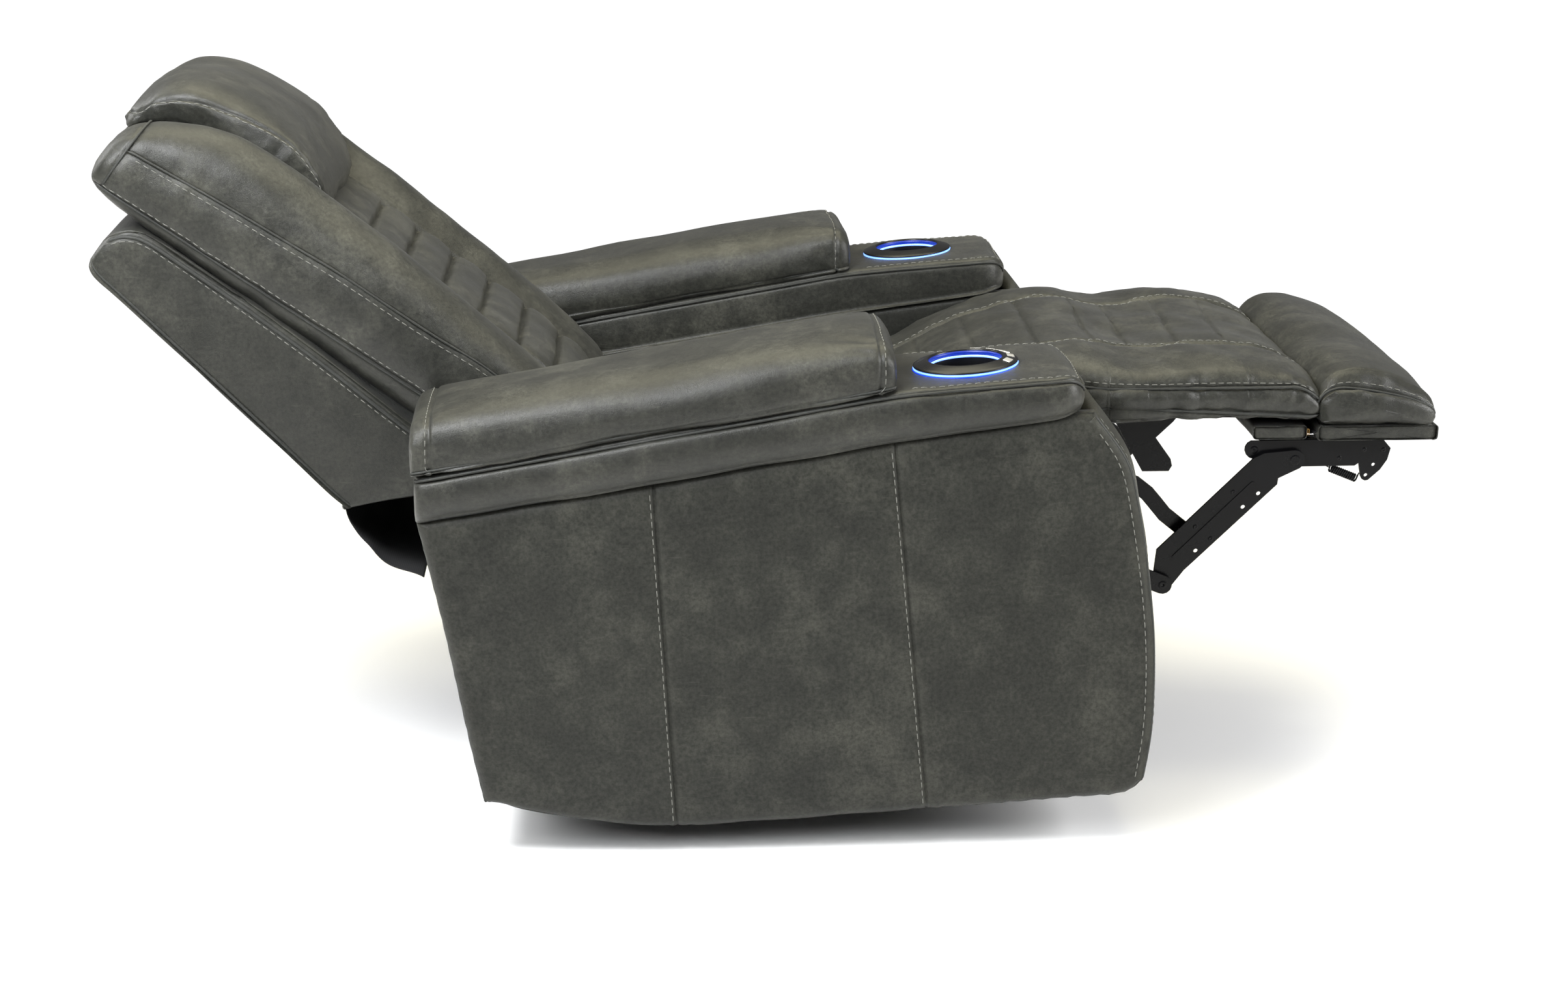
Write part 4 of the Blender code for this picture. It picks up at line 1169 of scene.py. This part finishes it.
SEAT_TOP = [
    (-0.148, 0.448), (-0.1465, 0.454), (-0.140, 0.460), (-0.12, 0.463), (-0.03, 0.464),
    (0.06, 0.465), (0.12, 0.470), (0.18, 0.487), (0.225, 0.512), (0.264, 0.531), (0.308, 0.546),
    (0.345, 0.557), (0.384, 0.563), (0.415, 0.560), (0.440, 0.553), (0.466, 0.5500), (0.492, 0.551),
    (0.520, 0.555), (0.56, 0.5565), (0.60, 0.553), (0.633, 0.547), (0.652, 0.541), (0.668, 0.533),
    (0.679, 0.524), (0.686, 0.512), (0.6885, 0.503),
]
SEAT_LINE = [(-0.148, 0.155), (0.20, 0.155), (0.30, 0.151), (0.66, 0.150), (0.6885, 0.138)]
SEAT_BOTTOM = [
    (0.300, 0.426), (0.316, 0.479), (0.40, 0.4795), (0.43, 0.483), (0.60, 0.4805), (0.664, 0.477),
    (0.6885, 0.483),
]
PAD_SEAM = [(0.396, 0.5235), (0.653, 0.5235), (0.672, 0.515), (0.6885, 0.499)]
PAD_LOW = [(0.35, 0.500), (0.438, 0.498), (0.555, 0.492), (0.673, 0.485), (0.6885, 0.488)]
SEAT_REAR_DRAW = [(-0.148, 0.012), (-0.140, 0.003), (-0.12, 0)]
SEAT_FRONT_DRAW = [(0.665, 0), (0.679, 0.004), (0.6885, 0.014)]
SEAT_JOINT_DRAW = [(0.38, 0.001), (0.46, -0.001)]
SEAT_CHANNELS = (
    (0.205, 0.002), (0.269, 0.003), (0.342, 0.005), (0.415, 0.010), (0.4625, 0.010), (0.529, 0.016),
    (0.591, 0.020),
)


def make_seat():
    """Seat and leg-rest pad under one cover."""
    net = []
    for x, top in SEAT_TOP:
        bottom = lookup(SEAT_BOTTOM, x)
        seam = lookup([(0.0, top - 0.020), (0.33, top - 0.022), *PAD_SEAM], x)
        low = lookup([(0.31, bottom + 0.012), *PAD_LOW], x)
        line = lookup(SEAT_LINE, x)
        draw = lookup(SEAT_REAR_DRAW, x) + lookup(SEAT_FRONT_DRAW, x)
        draw += lookup(SEAT_JOINT_DRAW, x)
        rise = top - seam
        rows = [
            (0.0, bottom), (0.14, bottom), (0.252, bottom + 0.0005),
            (0.2665 - draw, bottom + 0.004), (0.2700 - draw, low),
            (0.2750 - draw, 0.5 * (low + seam)), (0.2705 - draw, seam),
            (0.2660 - draw, seam + 0.42 * rise), (0.2500 - draw, seam + 0.74 * rise),
            (0.205 - draw, seam + 0.97 * rise), (line, top), (line * 0.5, top - 0.0015),
            (0.0, top - 0.001),
        ]
        net.append([(x, y, z) for y, z in mirror_rows(rows, 1, -1)])
    places = [x for x, _ in SEAT_TOP]
    rungs = np.interp([x for x, _ in SEAT_CHANNELS], places, np.arange(len(places)))
    hidden, cushion, corner, end = np.interp([0.0, 0.19, 0.33, 0.681], places, np.arange(len(places)))
    skin = Loft(net, 5, 5, seams=(4, 6, 10, 14, 18, 20), rings=rungs, domes=(0.002, 0.002))
    form = skin.form()
    tops = (skin.along(6, cushion, end, 160), skin.along(18, cushion, end, 160))
    lows = (skin.along(4, corner, end, 160), skin.along(20, corner, end, 160))
    lines = (skin.along(10, hidden, end, 220), skin.along(14, hidden, end, 220))
    form.sewn(tops, (0.0026, 0.0030), (0.0030, 0.020, 0.018), 41.0)
    form.sewn(lows, (0.0016, 0.0026), (0.0018, 0.014, 0.018), 44.0)
    form.sewn(lines, (0.0045, 0.0048), (0.0012, 0.020, 0.024), 47.0)
    for (x, lean), rung in zip(SEAT_CHANNELS, rungs):
        channel = skin.around(rung, 10.2, 13.8, 50)
        channel[:, 0] += lean * channel[:, 1] / 0.26
        form.groove(channel, 0.0030, 0.0034).pucker(channel, 0.0007, 0.010, 0.016, 60 * x)
    form.undulate(0.0024, 0.085, 51.0).undulate(0.0010, 0.032, 53.0)
    obj = form.build("seat_and_leg_cover", LEATHER)
    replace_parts(obj, "seat_cushion", "chaise_pad")
    rows = [(obj, line, (-0.0075, 0.0075)) for line in lines]
    rows += [(obj, skin.along(row, cushion, end - 0.3, 160), (0.0,)) for row in (6.42, 17.58)]
    sewn = thread("seat_thread", rows, None)
    welts = piping("seat_welt", [*tops, *lows], 0.0017, None)
    for piece in (obj, sewn, welts):
        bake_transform(piece)


FOOT_EDGE_PROFILE = [
    (0.690, 0.4750), (0.757, 0.4745), (0.818, 0.4750), (0.8280, 0.4800), (0.8290, 0.4870),
    (0.8230, 0.4955), (0.795, 0.5065), (0.760, 0.5145), (0.728, 0.5195), (0.706, 0.5205),
    (0.690, 0.5150), (0.6805, 0.5030), (0.6810, 0.4850),
]
FOOT_CROWN_PROFILE = [
    (0.690, 0.4735), (0.757, 0.4735), (0.822, 0.4740), (0.8320, 0.4820), (0.8330, 0.4960),
    (0.8240, 0.5110), (0.798, 0.5265), (0.765, 0.5400), (0.732, 0.5450), (0.706, 0.5405),
    (0.6885, 0.5270), (0.6795, 0.5070), (0.6800, 0.4850),
]


FOOT_STATIONS = (0.2730, 0.2704, 0.2660, 0.2595, 0.251, 0.235, 0.15)


def make_foot_cushion():
    """The bolster at the end of the leg rest, with a sewn cap on each side."""
    edge, crown = np.array(FOOT_EDGE_PROFILE), np.array(FOOT_CROWN_PROFILE)
    middle = np.array([0.757, 0.495])
    net = []
    for y in (*(-y for y in FOOT_STATIONS), 0.0, *FOOT_STATIONS[::-1]):
        swell = lookup(
            [(0.15, 1.0), (0.235, 0.97), (0.2510, 0.80), (0.2595, 0.42), (0.266, 0.0)], abs(y),
        )
        shrink = lookup([(0.266, 0.0), (0.2704, 0.010), (0.2730, 0.040)], abs(y))
        profile = edge + (crown - edge) * swell
        profile = profile + (middle - profile) * shrink
        net.append([(x, y, z) for x, z in profile])
    skin = Loft(net, 5, 6, rings=(2, 12), domes=(0.004, 0.004))
    form = skin.form()
    caps = (skin.around(2, 3.4, 11.8, 120), skin.around(12, 3.4, 11.8, 120))
    form.sewn(caps, (0.0030, 0.0030), (0.0016, 0.022, 0.020), 61.0).undulate(0.0018, 0.09, 63.0)
    obj = puffed(form, "footrest_leather", LEATHER, caps, 0.004)
    finish_soft(obj, ["footrest_cushion"], "leg_rest")
    rows = [(obj, skin.around(row, 3.6, 11.4, 120), (0.0,)) for row in (2.7, 11.3)]
    thread("footrest_thread", rows, "leg_rest")
    piping("footrest_welt", list(caps), 0.0017, "leg_rest")


BOARD_ENDS = ((0.0, 0.12), (0.0015, 0.035), (0.006, 0.0), (0.02, 0.0))


def make_board(name, node_name, low, high):
    """A thin board wrapped in leather, its corners softened by the wrap."""
    (x0, y0, z0), (x1, y1, z1) = low, high
    profile = []
    for x, z, dx, dz in ((x1, z0, -1, 1), (x1, z1, -1, -1), (x0, z1, 1, -1), (x0, z0, 1, 1)):
        ends = [(x + dx * reach, z) for reach in (0.014, 0.007, 0.0035)]
        ends += [(x + dx * 0.001, z + dz * 0.001), (x, z + dz * 0.0035), (x, z + dz * 0.007)]
        profile += ends if dx * dz < 0 else ends[::-1]
    profile = np.array(profile)
    middle = profile.mean(axis=0)
    net = []
    stations = [(y0 + reach, shrink) for reach, shrink in BOARD_ENDS] + [(0.0, 0.0)]
    stations += [(y1 - reach, shrink) for reach, shrink in BOARD_ENDS[::-1]]
    for y, shrink in stations:
        net.append([(x, y, z) for x, z in profile + (middle - profile) * shrink])
    form = Loft(net, 5, 3, domes=(0.0008, 0.0008)).form().undulate(0.0007, 0.04, z0 * 90)
    obj = form.build(name, LEATHER)
    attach(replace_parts(obj, node_name), "leg_rest")


JOINT_DIP = ((0.6610, 0.4640), (0.6680, 0.4625), (0.6745, 0.4610), (0.6815, 0.4625), (0.6885, 0.4640))
STAPLE = ((0.6688, 0.4585), (0.6688, 0.4665), (0.6700, 0.4675), (0.6712, 0.4665), (0.6712, 0.4585))


def make_board_joint():
    """The doubled cloth that joins the leg rest's two boards, with the staples that hold it."""
    rows = []
    for x, z in JOINT_DIP:
        rows.append([])
        for y in np.linspace(-0.258, 0.258, 50):
            rows[-1].append((x, y, z + 0.0008 * noise.noise(Vector((y * 30, x * 50, 1.0)))))
    cloth, length = cloth_strip("board_joint_cloth", np.array(rows), (0, 0, 1), "leg_rest")
    wires = []
    for y in (-0.2615, 0.2615):
        wires.append(tube_form([(x, y, z) for x, z in STAPLE], 0.0006, 6, 0.001))
    staples = merged(wires).build("board_staples", BRASS)
    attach(staples, "leg_rest")


SHELL_LINES = [
    (0.086, 0.0135, 0.199, -0.1075), (0.090, 0.0160, 0.2020, -0.1095),
    (0.100, 0.0170, 0.2080, -0.1093), (0.150, 0.0200, 0.232, -0.1075),
    (0.240, 0.0240, 0.290, -0.0990), (0.340, 0.0290, 0.370, -0.0872),
    (0.450, 0.0310, 0.460, -0.0738), (0.545, 0.0300, 0.545, -0.0613),
    (0.588, 0.0280, 0.585, -0.0555), (0.6060, 0.0215, 0.6050, -0.0530),
    (0.6170, 0.0120, 0.6170, -0.0500), (0.6250, -0.0010, 0.6250, -0.0450),
    (0.6290, -0.0130, 0.6290, -0.0380),
]


def make_outer_shell():
    """The wedge-shaped outer back, with a sewn welt round its front edge and piping down its rear edges."""
    net = []
    for k, (front_u, front_v, rear_u, rear_v) in enumerate(SHELL_LINES):
        draw = (0.006, 0.001, 0, 0, 0, 0, 0, 0, 0, 0, 0.0005, 0.003, 0.010)[k]
        deep = math.hypot(rear_u - front_u, rear_v - front_v)
        soft = 0.0065 / deep
        rows = [
            (0.0, -0.012 / deep), (0.16, -0.010 / deep), (0.262 - draw, -0.003 / deep),
            (0.2705 - draw, 0.0), (0.2752 - draw, soft), (0.2768 - draw, 0.25),
            (0.2778 - draw, 0.50), (0.2768 - draw, 0.78), (0.2752 - draw, 1 - soft),
            (0.2700 - draw, 1.0), (0.16, 1 + 0.003 / deep), (0.0, 1 + 0.004 / deep),
        ]
        section = []
        for y, w in mirror_rows(rows, 1, -1):
            section.append(back(front_u + w * (rear_u - front_u), front_v + w * (rear_v - front_v), y))
        net.append(section)
    skin = Loft(net, 5, 5, seams=(4, 8, 14, 18), domes=(0.002, 0.002))
    form = skin.form()
    form.undulate(0.0020, 0.13, 71.0)
    fronts = (skin.along(4, 1.5, 11.0, 160), skin.along(18, 1.5, 11.0, 160))
    rears = (skin.along(8, 1.5, 11.4, 120), skin.along(14, 1.5, 11.4, 120))
    form.sewn(fronts, (0.0015, 0.003), (0.0012, 0.018, 0.030), 73.0)
    obj = form.build("outer_back_leather", LEATHER)
    finish_soft(obj, ["outer_back_shell"], "backrest")
    piping("outer_back_piping", list(rears), 0.0020, "backrest")
    piping("outer_back_welt", list(fronts), 0.0022, "backrest")
    thread("outer_back_thread", [(obj, fronts[0], (-0.0050,)), (obj, fronts[1], (0.0050,))], "backrest")


def cloth_strip(name, grid, out, body):
    """A thin cloth through a grid of points, with out as the way its outer face looks."""
    front = grid.reshape(-1, 3)
    closed = sheet_form(grid, 0.0)
    closed.points[len(front) :] = front - np.array(out) * 0.0012
    obj = oriented(closed).build(name, DUST_CLOTH)
    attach(obj, body)
    return obj, float(np.linalg.norm(np.diff(grid[:, grid.shape[1] // 2], axis=0), axis=1).sum())


FLAP_PATH = [(0.2040, 0, -0.1115), (0.165, 0, -0.133), (0.125, 0, -0.1395), (0.0725, 0, -0.130)]


def make_rear_flap():
    """The dust cloth that hangs from the shell, with a leather hem."""
    path = curve_at(FLAP_PATH, np.linspace(0, 3, 26))
    rows = []
    for i, (u, _, v) in enumerate(path):
        sag = 0.0025 * math.sin(i * 0.45)
        rows.append([])
        for y in np.linspace(-0.268, 0.268, 60):
            ripple = 0.0015 * noise.noise(Vector((y * 14, i * 0.2, 0)))
            rows[-1].append(back(u, v + sag * math.cos(9 * y) + ripple, y))
    out = (math.sin(BACK_ANGLE), 0, math.cos(BACK_ANGLE))
    obj, length = cloth_strip("rear_dust_cloth", np.array(rows), out, "backrest")
    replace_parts(obj, "rear_flap")
    across = np.linspace(-0.27, 0.27, 150)
    hem = np.array([back(0.2065 - 0.004 * abs(math.sin(y * 38)), -0.1135, y) for y in across])
    piping("rear_hem", [hem], 0.0034, "backrest", LEATHER)


UNDER_BACK = [
    (-0.126, 0, 0.402), (-0.150, 0, 0.345), (-0.200, 0, 0.290), (-0.290, 0, 0.264),
    (-0.390, 0, 0.272), (-0.428, 0, 0.300),
]


def make_under_cloth():
    """The cloth that closes the gap behind the seat, slung under the path of the back's lower end."""
    rows = []
    path = curve_at(UNDER_BACK, np.linspace(0, len(UNDER_BACK) - 1, 40))
    for i, (x, _, z) in enumerate(path):
        rows.append([])
        for y in np.linspace(-0.272, 0.272, 60):
            ripple = 0.0030 * noise.noise(Vector((y * 9, i * 0.15, 4.0)))
            rows[-1].append((x, y, z - 0.006 * math.cos(y * math.pi / 0.544) + ripple))
    obj, length = cloth_strip("under_back_cloth", np.array(rows), (0, 0, 1), "chassis")


def make_inner_panel(word, side):
    """The arm's inner face, upholstered where it shows beside the seat."""
    rear, front = smooth_line(REAR_EDGE), smooth_line(FRONT_EDGE)
    lows, highs = (rear[0][0], front[0][0]), (rear[-1][0], front[-1][0])
    across = edge_ticks(60, length=0.8)
    plane = coons(rear, front, foot_line(*lows), under_line(*highs), across, edge_ticks(30))
    grid, _, gap = face_grid(plane)
    grid[..., 1] = side * (ARM_INNER + 0.0012 + rolled(gap, 0.008)).reshape(grid.shape[:2])
    form = sheet_form(grid, side * (ARM_INNER + 0.0195))
    obj = form.build(f"arm_inner_leather_{word}", LEATHER)
    finish_soft(obj, [f"arm_inner_panel_{word}"], "chassis")


def turned_form(profile, steps=96):
    """A closed profile of (radius, height) turned about Z."""
    turns = np.arange(steps) * 2 * math.pi / steps
    count = len(profile)
    points = [(r * math.cos(t), r * math.sin(t), h) for t in turns for r, h in profile]
    faces = []
    for i in range(steps):
        a, b = i * count, (i + 1) % steps * count
        for j in range(count):
            k = (j + 1) % count
            faces.append((a + j, a + k, b + k, b + j))
    return oriented(Form(points, faces))


CUP = [
    (0.0006, -0.0548), (0.030, -0.0550), (0.0405, -0.0545), (0.0420, -0.0525), (0.0436, -0.0225),
    (0.0440, -0.0215), (0.0440, -0.0185), (0.0436, -0.0175), (0.0444, 0.0098), (0.0450, 0.0110),
    (0.0462, 0.0116), (0.0478, 0.0114), (0.0530, 0.0095), (0.0590, 0.0077), (0.0618, 0.0066),
    (0.0632, 0.0057), (0.0635, 0.0050), (0.0630, 0.0040), (0.0560, 0.0036), (0.0465, 0.0036),
    (0.0458, -0.0575), (0.0440, -0.0585), (0.0006, -0.0585),
]
CUP_LINE = [
    (0.0424, 0.0015), (0.0434, 0.0019), (0.0441, 0.0027), (0.0434, 0.0038), (0.0424, 0.0042),
    (0.0420, 0.0030),
]
CUP_WALL = [(0.0437, 0.0044), (0.0441, 0.0044), (0.0443, 0.0092), (0.0439, 0.0092)]
# The painted glow round the flange: a thin ring lying on the leather's surface.
CUP_HALO_PAINTED_GLOW = [(0.0600, -0.0002), (0.0638, -0.0002), (0.0646, 0.0005), (0.0638, 0.0011), (0.0600, 0.0011)]
CUP_BAND = [
    (0.0480, 0.0012), (0.0622, 0.0012), (0.0636, 0.0018), (0.0636, 0.0028), (0.0622, 0.0034),
    (0.0480, 0.0034),
]
# Each part is (piece, profile, material, slot, replaced node).
CUP_PARTS = (
    ("cup", CUP, GLOSS_BLACK, "black_plastic", "cup_holder"),
    ("cup_inner_light", CUP_LINE, LIGHT_LINE, "light", None),
    ("cup_wall_painted_lit", CUP_WALL, WALL_PAINTED_LIT, "light", None),
    ("cup_halo_painted_glow", CUP_HALO_PAINTED_GLOW, HALO_PAINTED_GLOW, "light", None),
    ("cup_outer_light", CUP_BAND, LIGHT_RING, "light", "cup_light"),
)


def make_cup(word, side):
    """The cup holder: a lipped flange, a stepped cup, a lit line inside, a painted glow on the wall above
    that line, and a painted glow on the leather round the flange.
    """
    for name, profile, material, slot, replaced in CUP_PARTS:
        obj = turned_form(profile).build(f"{name}_{word}", material)
        obj.matrix_world = cup_frame(side)
        if replaced:
            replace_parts(obj, f"{replaced}_{word}")
        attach(obj, "chassis")


SPRING_TURNS = 13
SPRING_RADIUS = 0.0045
# Each head is (x, z, y, radius).
RIVETS = {
    "main_links": [
        (0.5776, 0.3860, 0.2610, 0.0048),
        (0.5310, 0.3409, 0.2610, 0.0048),
        (0.5511, 0.3251, 0.2610, 0.0048),
    ],
    "front_links": [(0.490, 0.267, 0.2694, 0.0085), (0.240, 0.370, 0.2694, 0.0065)],
    "leg_rest": [
        (0.655, 0.427, 0.2612, 0.0085),
        (0.604, 0.439, 0.2525, 0.0075),
        (0.7451, 0.4373, 0.2525, 0.0045),
        (0.7696, 0.4370, 0.2525, 0.0045),
        (0.7133, 0.4263, 0.2525, 0.0045),
    ],
}


def make_rivets():
    """Domed rivet heads over the linkage's pivots."""
    for body, heads in RIVETS.items():
        forms = []
        for side in (-1, 1):
            for x, z, y, radius in heads:
                domed = [
                    (0.0003, 0.0022), (radius * 0.45, 0.0020), (radius * 0.8, 0.0013),
                    (radius, 0.0004),
                ]
                head = turned_form([*domed, (radius, -0.0006), (0.0003, -0.0006)], 24)
                a, b, out = head.points.T
                spun = np.stack([a + x, side * (y + out), b + z], axis=1)
                forms.append(oriented(Form(spun, head.faces)))
        made = merged(forms).build(f"rivets_{body}", STEEL)
        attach(made, body)


def make_springs():
    """The small coiled spring that hooks onto each ottoman bracket's ear."""
    springs = []
    turns = np.linspace(0, 1, 260)
    angle = turns[:, None] * 2 * math.pi * SPRING_TURNS
    for side in (-1, 1):
        a, b = np.array([0.704, side * 0.246, 0.412]), np.array([0.738, side * 0.246, 0.398])
        axis = (b - a) / np.linalg.norm(b - a)
        up = np.array([-axis[2], 0, axis[0]])
        circle = np.cos(angle) * up + np.sin(angle) * np.array([0, 1.0, 0])
        springs.append(
            tube_form(a + (b - a) * turns[:, None] + SPRING_RADIUS * circle, 0.0012, 6, 0.0016)
        )
        near_hook = np.array([b, b + (0.006, 0, 0.010), (0.7486, side * 0.2485, 0.410)])
        far_hook = np.array([a, a + (-0.010, 0, 0.006), (0.690, side * 0.2485, 0.424)])
        springs += [tube_form(hook, 0.0009, 6, 0.003) for hook in (near_hook, far_hook)]
    made = merged(springs).build("ear_springs", STEEL)
    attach(made, "leg_rest")


STEEL_NODES = (
    "mechanism_", "cross_", "front_link", "main_link", "ottoman_", "leg_hinge", "recline_actuator",
)
NODE_FINISHES = (
    (DARK_WOOD, ("base_", "rocker_", "seat_deck")),
    (DARK_LEATHER, ("back_frame", "lid_board", "headrest_board")),
    (STEEL, STEEL_NODES),
    (MATT_BLACK, ("storage_well", "charging_port", "power_box")),
    (SILVER, ("recline_button", "upright_button", "headrest_up", "headrest_down", "light_button")),
)


def finish_nodes():
    """Gives the CAD nodes that stay in sight their finish, by the start of their names."""
    for name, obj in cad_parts.items():
        for material, starts in NODE_FINISHES:
            if name.startswith(starts):
                for slot in obj.material_slots:
                    slot.material = material


# ---------------------------------------------------------------- stage


def make_stage():
    """A white floor, and a white glow far out over it and around it that lights nothing."""
    corners = [(-40, -40, 0), (40, -40, 0), (40, 40, 0), (-40, 40, 0)]
    white, _, shader = new_material("studio_floor")
    settle(shader, {"Base Color": (0.95, 0.95, 0.95, 1), "Roughness": 1.0, "Specular IOR Level": 0.0})
    floor = Form(corners, [(0, 1, 2, 3)]).build("floor", white)
    floor.location.z = -0.0010
    haze, tree, shader = new_material("far_haze")
    place = object_place(tree)
    away = node(tree, "ShaderNodeVectorMath", {0: place}, operation="LENGTH").outputs["Value"]
    fade = {"Value": away, "From Min": 1.1, "From Max": 2.2}
    far = node(tree, "ShaderNodeMapRange", fade, interpolation_type="SMOOTHSTEP")
    settle(shader, {"Base Color": (0, 0, 0, 1), "Specular IOR Level": 0.0})
    settle(shader, {"Emission Color": (1, 1, 1, 1), "Emission Strength": 1.1})
    tree.links.new(far.outputs["Result"], shader.inputs["Alpha"])
    above = [(x, y, 30) for x, y, _ in corners]
    walls = [(0, 4, 5, 1), (1, 5, 6, 2), (2, 6, 7, 3), (3, 7, 4, 0), (4, 7, 6, 5)]
    glow = Form(corners + above, [(0, 1, 2, 3), *walls]).build("far_glow", haze)
    glow.location.z = -0.0006
    glow.visible_diffuse = glow.visible_glossy = glow.visible_shadow = False


def area_light(name, place, target, size, watts, colour):
    data = bpy.data.lights.new(name, "AREA")
    data.shape = "RECTANGLE"
    data.size, data.size_y = size
    data.energy = watts
    data.color = colour
    light = bpy.data.objects.new(name, data)
    bpy.context.scene.collection.objects.link(light)
    light.location = place
    light.rotation_euler = (Vector(target) - Vector(place)).to_track_quat("-Z", "Y").to_euler()


# name, place, target, size, watts, colour
LIGHTS = (
    ("overhead", (0.1, 0.5, 3.2), (0, 0.1, 0.3), (3.2, 2.6), 104, (1.0, 0.945, 0.70)),
    ("left_rear", (-2.6, 1.0, 2.1), (-0.4, 0, 0.6), (1.2, 1.8), 45, (1, 1, 1)),
    ("camera_side", (-2.5, -3.5, 2.8), (0, 0, 0.3), (2.4, 1.8), 98, (0.96, 0.98, 1.0)),
    ("upper_left", (-0.95, -1.2, 1.95), (-0.35, -0.1, 0.65), (1.0, 0.8), 64, (0.97, 0.985, 1.0)),
    ("right_side", (3.0, -1.2, 1.6), (0.2, 0, 0.4), (1.4, 1.6), 120, (1, 1, 1)),
)
WORLD_STRENGTH = 0.17


def make_lights():
    world = bpy.data.worlds.new("studio")
    world.use_nodes = True
    settle(world.node_tree.nodes["Background"], {"Color": (1, 1, 1, 1), "Strength": WORLD_STRENGTH})
    bpy.context.scene.world = world
    for light in LIGHTS:
        area_light(*light)


def make_camera():
    data = bpy.data.cameras.new("camera")
    data.sensor_width = 36
    data.lens = 4394 / 2408 * 36
    data.clip_end = 200
    camera = bpy.data.objects.new("camera", data)
    bpy.context.scene.collection.objects.link(camera)
    camera.location = (-0.167, -3.732, 1.326)
    camera.rotation_euler = (math.radians(90 - 15.07), 0, math.radians(-2.88))
    bpy.context.scene.camera = camera


make_camera()
make_stage()
make_lights()
bpy.context.scene.view_settings.view_transform = "Standard"
finish_nodes()
for word, side in SIDES.items():
    sewn = make_outer_panel(word, side) + make_front_panel(word, side) + make_arm_roll(word, side)
    thread(f"arm_thread_{word}", sewn, "chassis")
    make_rear_panel(word, side)
    make_inner_panel(word, side)
    make_arm_pad(word, side)
    make_bolster(word, side)
    make_cup(word, side)
make_centre_cushion()
make_head_pillow()
make_seat()
make_foot_cushion()
make_board(
    "footrest_board_leather", "footrest_board", (0.6815, -0.268, 0.4535), (0.8335, 0.268, 0.4720),
)
make_board("flipper_board_leather", "flipper_board", (0.6005, -0.262, 0.4545), (0.6680, 0.262, 0.4712))
make_board_joint()
make_outer_shell()
make_rear_flap()
make_under_cloth()
make_rivets()
make_springs()
